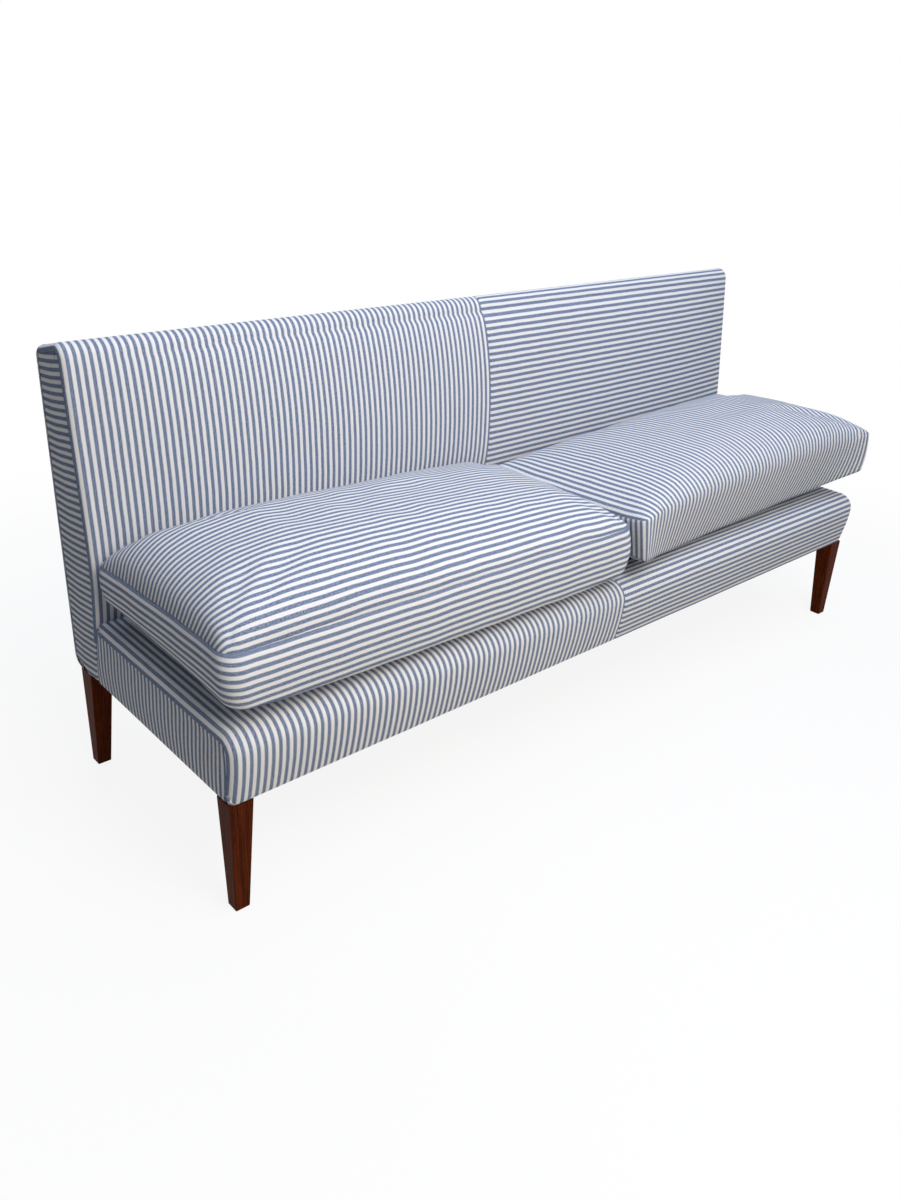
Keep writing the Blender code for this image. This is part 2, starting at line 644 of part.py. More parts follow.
def dome(u, v):
    """Share of the full crown: 1 in the middle and 0 along the seams."""
    return ((1 - u ** 4) * (1 - v ** 4)) ** DOME_FULLNESS


def cushion_samples(*inner):
    """Places across a cushion from -1 to 1, closer together near the corners."""
    half = [1.0, *CORNER_SHARES, *inner]
    return [-share for share in half] + [0.0] + list(reversed(half))


def cushion_surface(crown, undercrown, depth, with_slit):
    """Skin of a cushion about its own middle, set in by depth; the slit is for the zip behind."""
    shape = bmesh.new()
    across = cushion_samples(ZIP_U, ZIP_U / 2)
    along = cushion_samples(*DEPTH_SHARES)
    low_seam = undercrown
    high_seam = low_seam + BOXING_HEIGHT
    last_u = len(across) - 1
    last_v = len(along) - 1
    rim = [(i, 0) for i in range(last_u)] + [(last_u, j) for j in range(last_v)]
    rim += [(i, last_v) for i in range(last_u, 0, -1)] + [(0, j) for j in range(last_v, 0, -1)]
    faces = {}
    for key in ("under", "over"):
        for i, u in enumerate(across):
            for j, v in enumerate(along):
                x, y = cushion_plan(u, v)
                if key == "over":
                    z = high_seam + crown * dome(u, v)
                else:
                    z = low_seam - undercrown * min(UNDER_FLATNESS * dome(u, v), 1)
                faces[key, i, j] = shape.verts.new((x, y, z))
    middle = low_seam + BOXING_HEIGHT / 2
    for key, z in (("low", middle - ZIP_WIDTH / 2), ("high", middle + ZIP_WIDTH / 2)):
        for index, (i, j) in enumerate(rim):
            before = Vector(cushion_plan(across[rim[index - 1][0]], along[rim[index - 1][1]]))
            following = rim[(index + 1) % len(rim)]
            after = Vector(cushion_plan(across[following[0]], along[following[1]]))
            tangent = (after - before).normalized()
            here = Vector(cushion_plan(across[i], along[j]))
            if j == last_v and 0 < i < last_u:
                out = Vector((0, 1))
            else:
                out = Vector((tangent.y, -tangent.x))
            spot = here + out * BOXING_BULGE
            faces[key, i, j] = shape.verts.new((spot.x, spot.y, z))
    for key in ("under", "over"):
        for i in range(last_u):
            for j in range(last_v):
                ring = [(i, j), (i + 1, j), (i + 1, j + 1), (i, j + 1)]
                shape.faces.new([faces[(key, *spot)] for spot in ring])
    slit = []
    for lower, upper in (("under", "low"), ("low", "high"), ("high", "over")):
        for here, there in zip(rim, rim[1:] + rim[:1]):
            ring = [(lower, *here), (lower, *there), (upper, *there), (upper, *here)]
            face = shape.faces.new([faces[spot] for spot in ring])
            behind = here[1] == there[1] == last_v
            widest = max(abs(across[here[0]]), abs(across[there[0]]))
            if lower == "low" and behind and widest <= ZIP_U:
                slit.append(face)
    bmesh.ops.triangulate(shape, faces=[face for face in shape.faces if face not in slit])
    bmesh.ops.recalc_face_normals(shape, faces=shape.faces)
    shrink(shape, depth)
    if with_slit:
        bmesh.ops.delete(shape, geom=slit, context="FACES")
    return shape


def shrink(shape, depth):
    """Every point moved in along its normal, so that each face moves by the depth."""
    shape.normal_update()
    moves = [(vert, vert.normal * depth * vert.calc_shell_factor()) for vert in shape.verts]
    for vert, move in moves:
        vert.co -= move


def make_cushion(hand, side, crown, undercrown, finish):
    """A loose cushion: sewn cover with a zip behind, filling, zip tape and slider."""
    spot = Vector((side * CUSHION_X, CUSHION_Y, CUSHION_Z))
    skin = cushion_surface(crown, undercrown, 0, True)
    join_skins(skin, cushion_surface(crown, undercrown, COVER_THICKNESS, True))
    bmesh.ops.translate(skin, verts=skin.verts, vec=spot)
    add(f"cushion_cover_{hand}", skin, finish, origin=spot)
    core = cushion_surface(crown, undercrown, COVER_THICKNESS + CORE_GAP, False)
    bmesh.ops.translate(core, verts=core.verts, vec=spot)
    add(f"cushion_core_{hand}", core, foam, origin=spot)
    make_zip(hand, Vector((spot.x, CUSHION_REAR, spot.z + undercrown + BOXING_HEIGHT / 2)))


def join_skins(outer, inner):
    """Adds the inner skin to the outer one and closes the slit's edges between the two."""
    outer.verts.index_update()
    inner.verts.index_update()
    pairs = list(outer.verts)
    copies = [outer.verts.new(vert.co) for vert in inner.verts]
    rim = [edge for edge in outer.edges if edge.is_boundary]
    for face in list(inner.faces):
        outer.faces.new([copies[vert.index] for vert in reversed(face.verts)])
    places = {vert: index for index, vert in enumerate(pairs)}
    for edge in rim:
        first, second = edge.verts
        outer.faces.new([first, second, copies[places[second]], copies[places[first]]])
    inner.free()


def make_zip(hand, centre):
    """Zip tape with its row of teeth in the slit, and a slider with its pull at the closed end."""
    rear = centre.y
    middle = centre.z
    low = centre.x - ZIP_LENGTH / 2 + GAP
    half = ZIP_WIDTH / 2 - GAP
    teeth = ZIP_TEETH_WIDTH / 2
    inside = rear - COVER_THICKNESS
    face = rear - GAP
    crest = rear + ZIP_TEETH_HEIGHT
    section = [(inside, -half), (face, -half), (face, -teeth), (crest, -teeth), (crest, teeth),
               (face, teeth), (face, half), (inside, half)]
    prism(f"zip_tape_{hand}", [(low, y, middle + z) for y, z in section], (ZIP_LENGTH - 2 * GAP, 0, 0),
          zip_cloth, origin=centre)
    start = low + PULL_LENGTH
    body = SLIDER_WIDTH / 2
    pull = PULL_WIDTH / 2
    y = crest + GAP
    outline = [(low, -pull), (start, -pull), (start, -body), (start + SLIDER_LENGTH, -body),
               (start + SLIDER_LENGTH, body), (start, body), (start, pull), (low, pull)]
    prism(f"zip_slider_{hand}", [(x, y, middle + z) for x, z in outline], (0, SLIDER_THICKNESS, 0),
          brass, origin=(start, y, middle))


def centre_bench():
    """Moves the bench so that the origin is under the middle of its box."""
    reach = []
    for piece in bench.children:
        if not piece.hide_render:
            reach += [piece.location.y + corner[1] for corner in piece.bound_box]
    bench.location.y = -(min(reach) + max(reach)) / 2


remove_everything()
bench = bpy.data.objects.new("banquette", None)
bpy.context.scene.collection.objects.link(bench)

timber = material("beech_frame", (0.62, 0.45, 0.28), 0.7)
wood = material("stained_wood", (0.10, 0.030, 0.012), 0.35)
steel = material("zinc_steel", (0.60, 0.60, 0.58), 0.35, 1.0)
brass = material("zip_metal", (0.55, 0.52, 0.45), 0.35, 1.0)
nylon = material("nylon", (0.55, 0.52, 0.46), 0.5)
webbing = material("jute_webbing", (0.42, 0.32, 0.18), 0.9)
hessian = material("hessian", (0.45, 0.34, 0.20), 0.95)
foam = material("foam", (0.80, 0.76, 0.62), 0.9)
wadding = material("wadding", (0.85, 0.84, 0.80), 0.95)
black_cloth = material("dust_cloth", (0.02, 0.02, 0.022), 0.9)
zip_cloth = material("zip_cloth", (0.55, 0.56, 0.58), 0.8)
fabric_upright = material("ticking_upright", (0.42, 0.45, 0.52), 0.9)
fabric_lengthwise = material("ticking_lengthwise", (0.47, 0.50, 0.57), 0.9)

make_frame()
make_suspension()
make_deck()
make_back()
make_cushion("left", -1, LEFT_CROWN, LEFT_UNDERCROWN, fabric_lengthwise)
make_cushion("right", 1, RIGHT_CROWN, RIGHT_UNDERCROWN, fabric_upright)
centre_bench()
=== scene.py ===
"""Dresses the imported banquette: ticking covers, stuffed cushions, zips, finishes, floor, light and camera."""

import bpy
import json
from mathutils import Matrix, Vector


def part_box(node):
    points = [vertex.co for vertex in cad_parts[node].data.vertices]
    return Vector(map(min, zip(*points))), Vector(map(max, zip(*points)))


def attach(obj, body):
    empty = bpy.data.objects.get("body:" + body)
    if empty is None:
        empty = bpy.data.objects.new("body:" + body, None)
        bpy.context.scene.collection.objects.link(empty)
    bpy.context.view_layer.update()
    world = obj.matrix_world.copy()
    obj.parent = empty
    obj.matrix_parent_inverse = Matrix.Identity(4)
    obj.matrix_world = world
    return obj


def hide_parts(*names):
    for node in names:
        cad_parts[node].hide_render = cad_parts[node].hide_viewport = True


bl_info = {
    "name": "Ticking Banquette",
    "version": (1, 0, 0),
    "blender": (4, 5, 0),
    "location": "View3D > Sidebar > Banquette",
    "description": "Sews the covers of an upholstered banquette over its packed frame and lights it",
    "category": "Object",
}

import json
import math

import bmesh
import bpy
from bpy.props import FloatProperty, FloatVectorProperty, IntProperty, PointerProperty
from bpy.types import Operator, Panel, PropertyGroup
from mathutils import Matrix, Vector, noise

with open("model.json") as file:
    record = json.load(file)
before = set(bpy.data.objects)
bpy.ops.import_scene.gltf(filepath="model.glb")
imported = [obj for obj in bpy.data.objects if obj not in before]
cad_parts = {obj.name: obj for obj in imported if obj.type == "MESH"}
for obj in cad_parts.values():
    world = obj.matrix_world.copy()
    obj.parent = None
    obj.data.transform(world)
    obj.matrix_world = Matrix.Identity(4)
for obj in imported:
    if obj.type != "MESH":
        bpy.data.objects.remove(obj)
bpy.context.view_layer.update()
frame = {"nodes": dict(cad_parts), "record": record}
SLOTS = {part["node"]: part["material_slot"] for part in frame["record"]["subparts"]}

BENCH = "bench"
HANDS = (("left", -1), ("right", 1))

# Places that the solids give, in metres. FRONT is the upright face of the front legs.
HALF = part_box("leg_front_right")[1].x
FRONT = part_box("leg_front_left")[0].y
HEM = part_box("deck_cover_left")[0].z
DECK_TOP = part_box("deck_cover_left")[1].z
# The stuffed back stands a little proud of its solid, and its rear seam lies below the rolled edge.
BACK_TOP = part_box("back_cover_left")[1].z + 0.005
BACK_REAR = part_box("outside_back_cover")[1].y + 0.007
REAR_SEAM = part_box("outside_back_cover")[1].z - 0.020
# The lowest cloth lies just above the solids' hem.
HEM_CLOTH = HEM + 0.0004


def linear(code):
    """A hex sRGB colour as linear red, green, blue and alpha."""
    parts = [int(code[index:index + 2], 16) / 255 for index in (0, 2, 4)]
    return (*(part / 12.92 if part <= 0.04045 else ((part + 0.055) / 1.055) ** 2.4 for part in parts), 1.0)


def length(name, description, default):
    """A property in metres."""
    return FloatProperty(name=name, description=description, default=default, subtype="DISTANCE",
                         unit="LENGTH")


def power(name, description, default):
    """A property in watts."""
    return FloatProperty(name=name, description=description, default=default, unit="POWER")


def colour(name, description, code):
    """A colour property that starts from a hex sRGB code."""
    return FloatVectorProperty(name=name, description=description, default=linear(code)[:3], subtype="COLOR",
                               min=0.0, max=1.0)


class BanquetteCloth(PropertyGroup):
    """The ticking, and the stain of the legs."""
    repeat: length("Stripe repeat", "From one blue stripe to the next", 0.01293)
    blue_share: FloatProperty(name="Blue share", description="Part of a repeat that is blue", default=0.50,
                              min=0.0, max=1.0, subtype="FACTOR")
    blue: colour("Blue yarn", "Dyed warp of the stripes", "4b72a3")
    white: colour("Off-white yarn", "Undyed warp between the stripes", "ebe8e4")
    stain: colour("Leg stain", "Warm brown of the legs", "5f2508")
    stain_dark: colour("Leg stain, dark", "Brown in the pores of the legs", "2a0f05")


class BanquetteShape(PropertyGroup):
    """Sizes of the sewn pieces that the solids leave open."""
    cover_thickness: length("Cover thickness", "Ticking with its lining", 0.0014)
    seam_depth: length("Seam depth", "How far a seam pulls the cover in", 0.0016)
    hem_turn: length("Hem turn", "Cover turned under the frame", 0.012)
    deck_edge: length("Deck edge radius", "Rounding of the deck's ends", 0.0185)
    back_edge: length("Back edge radius", "Rounding of the back's ends", 0.011)
    cushion_cell: length("Cushion cell", "Cell of the cushion covers before they are stuffed", 0.0085)
    stuffing: FloatProperty(name="Stuffing", description="Pressure of the filling in the cloth simulation",
                            default=3.0, min=0.0)
    stuffing_frames: IntProperty(name="Stuffing frames", description="Steps of the cloth simulation",
                                 default=20, min=1)
    stuffing_reach: length("Stuffing reach", "Most that the filling moves the cover", 0.012)


class BanquetteStage(PropertyGroup):
    """Floor and light."""
    floor: colour("Floor", "Pale studio floor as the camera sees it", "f1f0ee")
    bounce: colour("Floor glow", "Pale studio floor as it lights the bench from below", "c8c2b8")
    key: power("Front light", "Power of the lamp in front", 38.0)
    top: power("Top light", "Power of the lamp above", 58.0)
    rear: power("Rear light", "Power of the lamp behind", 24.0)
    fill: FloatProperty(name="Room light", description="Strength of the world", default=0.25, min=0.0)


# Materials


def node(tree, kind, inputs=None, stops=(), **settings):
    """Adds a node, sets it up and gives each input a link, where a socket is given, or a value. The stops of
    a colour ramp are its positions and colours."""
    made = tree.nodes.new(kind)
    for key, value in settings.items():
        setattr(made, key, value)
    for index, (position, shade) in enumerate(stops):
        made.color_ramp.elements[index].position = position
        made.color_ramp.elements[index].color = (*shade[:3], 1.0)
    for key, value in (inputs or {}).items():
        if isinstance(value, bpy.types.NodeSocket):
            tree.links.new(value, made.inputs[key])
        else:
            made.inputs[key].default_value = value
    return made


def finish(name, **surface):
    """A new material with its surface shader: (material, node tree, shader)."""
    made = bpy.data.materials.new(name)
    made.use_nodes = True
    tree = made.node_tree
    shader = tree.nodes["Principled BSDF"]
    for key, value in surface.items():
        shader.inputs[key.replace("_", " ")].default_value = value
    return made, tree, shader


def dressed(tree, shader, tone, height, strength, depth):
    """Gives a surface its colour, and a relief as deep as depth in metres."""
    raised = node(tree, "ShaderNodeBump", {"Strength": strength, "Distance": depth, "Height": height})
    tree.links.new(tone, shader.inputs["Base Color"])
    tree.links.new(raised.outputs[0], shader.inputs["Normal"])


def per_mm(size):
    """Texture scale, in cells to the metre, for a pattern of this many millimetres."""
    return 1000 / size


def ribs_per_mm(size):
    """Scale of a wave texture whose ribs are this many millimetres apart."""
    return math.pi / 10 * per_mm(size)


def ticking(cloth):
    """Cotton ticking, closely woven: dyed and undyed warp in stripes, crossed by an undyed weft that flecks
    the blue. It gives the eye soft-edged stripes, a dry speckle and no shine."""
    made, tree, shader = finish("cotton_ticking", Roughness=0.88, Specular_IOR_Level=0.04, Sheen_Weight=0.02,
                                Sheen_Roughness=0.5)
    weave = node(tree, "ShaderNodeUVMap", uv_map="weave").outputs[0]
    # Stripes wander by half a millimetre over about 40 mm, as pulled cloth does.
    wander = 0.08
    drift = node(tree, "ShaderNodeTexNoise", {"Vector": weave, "Scale": per_mm(40), "Detail": 1.0})
    # Ends of yarn step the stripes' edges; the yarn is 0.5 mm, drawn at 1.1 mm so that it shows.
    step = 0.10
    yarn_size = node(tree, "ShaderNodeMapping", {"Vector": weave, "Scale": (per_mm(1.1), per_mm(2.4), 1.0)})
    yarn = node(tree, "ShaderNodeTexNoise", {"Vector": yarn_size.outputs[0], "Scale": 1.0, "Detail": 1.0})
    # How far a point lies from the middle of the nearest blue stripe, in repeats.
    half = cloth.blue_share / 2
    away = node(tree, "ShaderNodeSeparateXYZ", {0: weave}).outputs[0]
    for operation, socket, inputs in (
            ("MULTIPLY", 0, {1: 1 / cloth.repeat}),
            ("MULTIPLY_ADD", 2, {0: drift.outputs[0], 1: wander}),
            ("MULTIPLY_ADD", 2, {0: yarn.outputs[0], 1: step}),
            ("ADD", 0, {1: 0.5 - half - (wander + step) / 2}),
            ("FRACT", 0, {}),
            ("SUBTRACT", 0, {1: 0.5}),
            ("ABSOLUTE", 0, {})):
        away = node(tree, "ShaderNodeMath", {socket: away, **inputs}, operation=operation).outputs[0]
    soft = 0.03
    band = node(tree, "ShaderNodeMapRange", {0: away, 1: half - soft, 2: half + soft, 3: 1.0, 4: 0.0},
                interpolation_type="SMOOTHSTEP")
    # The weft crosses the warp in slanting rows 0.9 mm apart and flecks it every 1.2 mm, drawn at 2.2 and
    # 1.9 mm so that they show.
    slant = node(tree, "ShaderNodeMapping", {"Vector": weave, "Rotation": (0.0, 0.0, math.radians(38))})
    rows = node(tree, "ShaderNodeTexWave", {"Vector": slant.outputs[0], "Scale": ribs_per_mm(2.2),
                                            "Distortion": 2.0, "Detail": 1.0, "Detail Scale": 1.0})
    speck_size = node(tree, "ShaderNodeMapping", {"Vector": weave, "Scale": (per_mm(1.9), per_mm(2.6), 1.0)})
    speck = node(tree, "ShaderNodeTexNoise", {"Vector": speck_size.outputs[0], "Scale": 1.0, "Detail": 2.0,
                                              "Roughness": 0.7})
    fleck = node(tree, "ShaderNodeMath", {0: rows.outputs["Fac"], 1: 0.25, 2: speck.outputs[0]},
                 operation="MULTIPLY_ADD").outputs[0]
    blue = Vector(cloth.blue)
    white = Vector(cloth.white)
    dyed = node(tree, "ShaderNodeValToRGB", {0: fleck}, ((0.48, blue * 0.42), (0.82, blue.lerp(white, 0.42))))
    plain = node(tree, "ShaderNodeValToRGB", {0: fleck}, ((0.35, white * 0.86), (0.75, white)))
    mix = node(tree, "ShaderNodeMix", {0: band.outputs[0], 6: plain.outputs[0], 7: dyed.outputs[0]},
               data_type="RGBA")
    dressed(tree, shader, mix.outputs[2], fleck, 0.35, 0.0005)
    return made


def stained_wood(cloth):
    """Planed hardwood, stained a red brown and wax polished: straight dark pores along the leg and a low
    satin shine, duller in the pores."""
    made, tree, shader = finish("stained_hardwood", Specular_IOR_Level=0.03)
    place = node(tree, "ShaderNodeTexCoord").outputs["Object"]
    # Grain lines 2.5 mm apart and 90 mm long; pores 14 mm long and 0.6 mm wide, drawn at 0.9 mm to show.
    grain_size = node(tree, "ShaderNodeMapping",
                      {"Vector": place, "Scale": (per_mm(2.5), per_mm(2.5), per_mm(90))})
    grain = node(tree, "ShaderNodeTexNoise", {"Vector": grain_size.outputs[0], "Scale": 1.0, "Detail": 3.0,
                                              "Distortion": 0.4})
    pore_size = node(tree, "ShaderNodeMapping",
                     {"Vector": place, "Scale": (per_mm(0.9), per_mm(0.9), per_mm(14))})
    pores = node(tree, "ShaderNodeTexNoise", {"Vector": pore_size.outputs[0], "Scale": 1.0, "Detail": 1.0})
    both = node(tree, "ShaderNodeMath", {0: pores.outputs[0], 1: 0.45, 2: grain.outputs[0]},
                operation="MULTIPLY_ADD").outputs[0]
    tone = node(tree, "ShaderNodeValToRGB", {0: both}, ((0.5, cloth.stain_dark), (0.92, cloth.stain)))
    shine = node(tree, "ShaderNodeMapRange", {0: both, 1: 0.5, 2: 0.9, 3: 0.58, 4: 0.46})
    tree.links.new(shine.outputs[0], shader.inputs["Roughness"])
    dressed(tree, shader, tone.outputs[0], pores.outputs[0], 0.2, 0.0003)
    return made


def plain_stuff(name, low, high, cell, depth, stretch=(1.0, 1.0, 1.0), **surface):
    """A stuff mottled between two colours: cell is its grain in mm, stretched along the axes."""
    made, tree, shader = finish(name, **surface)
    place = node(tree, "ShaderNodeTexCoord").outputs["Object"]
    scale = tuple(per_mm(cell) / share for share in stretch)
    sized = node(tree, "ShaderNodeMapping", {"Vector": place, "Scale": scale})
    mottle = node(tree, "ShaderNodeTexNoise", {"Vector": sized.outputs[0], "Scale": 1.0, "Detail": 3.0})
    tone = node(tree, "ShaderNodeValToRGB", {0: mottle.outputs[0]},
                ((0.35, linear(low)), (0.65, linear(high))))
    dressed(tree, shader, tone.outputs[0], mottle.outputs[0], 0.4, depth)
    return made


def coarse_weave(name, low, high, thread, **surface):
    """A plain weave of thick yarn: sets of ribs, thread mm apart, that cross and darken between them."""
    made, tree, shader = finish(name, **surface)
    place = node(tree, "ShaderNodeTexCoord").outputs["Object"]
    ribs = []
    for axis in ("X", "Y", "Z"):
        wave = node(tree, "ShaderNodeTexWave", {"Vector": place, "Scale": ribs_per_mm(thread),
                                                "Distortion": 0.6, "Detail": 1.0}, bands_direction=axis)
        ribs.append(wave.outputs["Fac"])
    cross = node(tree, "ShaderNodeMath", {0: ribs[0], 1: ribs[1]}, operation="MULTIPLY")
    height = node(tree, "ShaderNodeMath", {0: ribs[2], 1: 0.3, 2: cross.outputs[0]},
                  operation="MULTIPLY_ADD").outputs[0]
    tone = node(tree, "ShaderNodeValToRGB", {0: height}, ((0.0, linear(low)), (1.0, linear(high))))
    dressed(tree, shader, tone.outputs[0], height, 0.5, 0.0006)
    return made


def hidden_stuffs():
    """What the unseen solids are made of, by the material slot of the record."""
    return {
        # Planed beech: pale pinkish wood with short darker flecks along the grain.
        "beech_frame": plain_stuff("planed_beech", "b98a5e", "d8b48a", 3.0, 0.0003, (25.0, 1.0, 1.0),
                                   Roughness=0.6),
        # Zinc-plated pressed steel: grey with a faint spangle.
        "zinc_steel": plain_stuff("zinc_plated_steel", "9a9ea2", "c4c8cc", 4.0, 0.0001, Metallic=1.0,
                                  Roughness=0.38),
        # Cast zinc, nickel plated: bright, with fine tumbling marks.
        "zip_metal": plain_stuff("nickel_plated_zinc", "8f9094", "c9c9cc", 0.8, 0.0001, Metallic=1.0,
                                 Roughness=0.3),
        # Moulded nylon: dark, smooth, scuffed where it slides.
        "nylon": plain_stuff("moulded_nylon", "1d1c1b", "34322f", 2.0, 0.0001, Roughness=0.5),
        # Jute webbing: thick brown yarn.
        "jute_webbing": coarse_weave("jute_webbing", "5c452b", "b08d5f", 2.5, Roughness=0.95),
        # Hessian: open weave of raw jute.
        "hessian": coarse_weave("hessian", "6b5334", "c09f70", 1.8, Roughness=0.95),
        # Cut polyurethane foam: cream, open cells of about a millimetre.
        "foam": plain_stuff("cut_foam", "d8c98f", "efe6bd", 1.2, 0.0006, Roughness=0.95),
        # Polyester wadding: white matted fibre.
        "wadding": plain_stuff("polyester_wadding", "dcdcd8", "f4f4f1", 6.0, 0.002, Roughness=1.0),
        # Woven black cambric under the seat: dull, with a close weave.
        "dust_cloth": coarse_weave("black_cambric", "0d0d0e", "26262a", 1.2, Roughness=0.95),
        # Woven polyester zip tape: cream, with a fine rib.
        "zip_cloth": coarse_weave("woven_zip_tape", "c2beb6", "e6e2da", 1.0, Roughness=0.85),
    }


# Sewing

# Rows of cloth lie at these distances from a seam, and evenly from EVEN_FROM on.
SEAM_ROWS = (0.0, 0.0012, 0.0026, 0.0048, 0.009)
EVEN_FROM = 0.014
SEAM_REACH = 0.0024
# Points nearer to each other than this are one point.
WELD = 1e-5
# Sides of the covers' cells.
CELL = 0.012
CLOSE_CELL = 0.011


def unit(value):
    """A share, kept between 0 and 1."""
    return min(max(value, 0.0), 1.0)


def steps(low, high, step):
    """Evenly spaced places from low to high, about a step apart."""
    count = max(int(round((high - low) / step)), 1)
    return [low + (high - low) * index / count for index in range(count + 1)]


def joined(*runs):
    """Runs of places in one list, without the doubles where they meet."""
    places = list(runs[0])
    for run in runs[1:]:
        places += [place for place in run if abs(place - places[-1]) > WELD]
    return places


def seam_steps(low, high, step):
    """Places from low to high, closer near both ends, where a seam pulls the cloth in."""
    return joined([low + place for place in SEAM_ROWS], steps(low + EVEN_FROM, high - EVEN_FROM, step),
                  [high - place for place in reversed(SEAM_ROWS)])


def pulled_in(distance, depth):
    """How far a seam pulls the cloth in, at a distance from it."""
    return depth * math.exp(-(distance / SEAM_REACH) ** 2)


def rolled(past, radius):
    """Where cloth ends up, past metres after the start of a rounded edge: (further on, down)."""
    if past <= 0:
        return past, 0.0
    angle = past / radius
    return radius * math.sin(angle), radius * (1 - math.cos(angle))


def rolled_end(column, flat, radius):
    """Where a column of a cover lies along the bench, flat up to a rounded end: (x, inward)."""
    forward, down = rolled(abs(column) - flat, radius)
    return math.copysign(flat + forward, column), down


def mid_bench(x, blunt=4):
    """1 at the middle of the bench, falling to 0 at its ends; the blunter, the nearer to them."""
    return max(1 - (abs(x) / HALF) ** blunt, 0.0)


def uneven(place, size, depth):
    """Slow unevenness of padding under cloth."""
    return depth * noise.noise(Vector(place) / size)


def running(points):
    """Running lengths along a line of points."""
    lengths = [0.0]
    for here, there in zip(points, points[1:]):
        lengths.append(lengths[-1] + math.dist(here, there))
    return lengths


class Profile:
    """A line in the Y-Z plane, its running length and its outward side, which is on the left of its run."""

    def __init__(self, points):
        self.points = points
        self.lengths = running(points)
        self.outward = []
        last = len(points) - 1
        for index in range(last + 1):
            near = points[max(index - 1, 0)]
            far = points[min(index + 1, last)]
            run = Vector((far[0] - near[0], far[1] - near[1])).normalized()
            self.outward.append((-run.y, run.x))


def arc(centre, radius, start, end, count=8):
    """Points on an arc of the Y-Z plane, from one angle to another in degrees."""
    angles = [math.radians(start + (end - start) * index / count) for index in range(count + 1)]
    return [(centre[0] + radius * math.cos(angle), centre[1] + radius * math.sin(angle)) for angle in angles]


def add_piece(prefix, node_name, shape, body=BENCH):
    """Makes an object of a bmesh and puts it on its body, with the finish of the solid that it stands for."""
    name = f"{prefix}_{node_name}"
    mesh = bpy.data.meshes.new(name)
    shape.to_mesh(mesh)
    shape.free()
    mesh.materials.append(frame["nodes"][node_name].data.materials[0])
    for face in mesh.polygons:
        face.use_smooth = True
    piece = bpy.data.objects.new(name, mesh)
    bpy.context.scene.collection.objects.link(piece)
    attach(piece, body)
    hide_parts(node_name)
    return piece


def sewn_panel(columns, rows, place, weave):
    """A panel from a flat grid: place(column, row) says where a point of the cloth lies, and
    weave(column, row) how far it is across the stripes and along them, in metres."""
    shape = bmesh.new()
    across = len(columns) - 1
    along = len(rows) - 1
    bmesh.ops.create_grid(shape, x_segments=across, y_segments=along, size=0.5)
    layer = shape.loops.layers.uv.new("weave")
    cells = {}
    for vert in shape.verts:
        cells[vert] = (round((vert.co.x + 0.5) * across), round((vert.co.y + 0.5) * along))
    for face in shape.faces:
        for loop in face.loops:
            column, row = cells[loop.vert]
            loop[layer].uv = weave(columns[column], rows[row])
    for vert, (column, row) in cells.items():
        vert.co = place(columns[column], rows[row])
    return shape


def shift_grown(shape, grown, move):
    """Moves the new points of an extrusion."""
    verts = [part for part in grown["geom"] if isinstance(part, bmesh.types.BMVert)]
    bmesh.ops.translate(shape, verts=verts, vec=move)


def thicken(piece, thickness):
    """Gives a sheet its thickness, inward from its face."""
    wall = piece.modifiers.new("thickness", "SOLIDIFY")
    wall.thickness = thickness
    wall.offset = -1.0


def cover(node_name, panel, flat, flip=False):
    """Puts a panel on the bench as stretched cloth. A panel that was laid out inside out is flipped."""
    if flip:
        bmesh.ops.reverse_faces(panel, faces=panel.faces)
    piece = add_piece("sewn", node_name, panel)
    thicken(piece, bpy.context.scene.banquette_shape.cover_thickness)


def striped(distance, whole, cloth):
    """Distance across the stripes, eased so that both ends of a panel of this width fall on a blue stripe."""
    count = round(whole / cloth.repeat - cloth.blue_share) + cloth.blue_share
    return distance * count * cloth.repeat / whole


# The back and the deck

# The ends of the back lean forward up to a knee and back above it. The slopes are run over rise.
KNEE_RISE = 0.222
KNEE_Z = HEM + KNEE_RISE
KNEE_Y = FRONT + 0.431
KNEE_SOFTNESS = 0.04
BELOW = -0.0315 / KNEE_RISE
ABOVE = 0.030 / (BACK_TOP - KNEE_Z)
BACK_TOP_RADIUS = 0.026
BACK_TOP_FALL = 0.016
BACK_REAR_RADIUS = 0.022
# The padding stands out by BACK_SWELL, fullest a little above its middle, and is blunt above and below.
BACK_SWELL = 0.033
SWELL_SHIFT = 1.3
SWELL_BLUNT = 0.55
# The cushions' rears press it in at this height.
BACK_LEAN = 0.0065
BACK_LEAN_Z = DECK_TOP + 0.10
BACK_LEAN_REACH = 0.05
BACK_SKEW = 0.013
PAD_INSET = 0.0035
HEEL_RADIUS = 0.020
# The seams of the ends lie where the covers have all but turned on to the end.
END_TURN = math.radians(85)
BACK_END_CELL = 0.0016
DECK_END_CELL = 0.0014
# The two halves of a cover meet at the middle with this much room on each side.
MIDDLE_ROOM = 0.00015
BULLNOSE = 0.036
BULGE = 0.014
NOSE_Y = FRONT - BULGE + BULLNOSE
NOSE_Z = DECK_TOP - BULLNOSE
HEM_FOLD = 0.003
# The deck's cover is tucked down behind its foam.
TUCK_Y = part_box("seat_foam")[1].y + 0.0025
TUCK_RADIUS = 0.005
TUCK_DEPTH = 0.022


def back_front(z):
    """Front of the back's ends at a height: leaning forward to a soft knee, then back."""
    rise = z - KNEE_Z
    bend = math.hypot(rise, KNEE_SOFTNESS) - KNEE_SOFTNESS
    return KNEE_Y + (ABOVE + BELOW) / 2 * rise + (ABOVE - BELOW) / 2 * bend


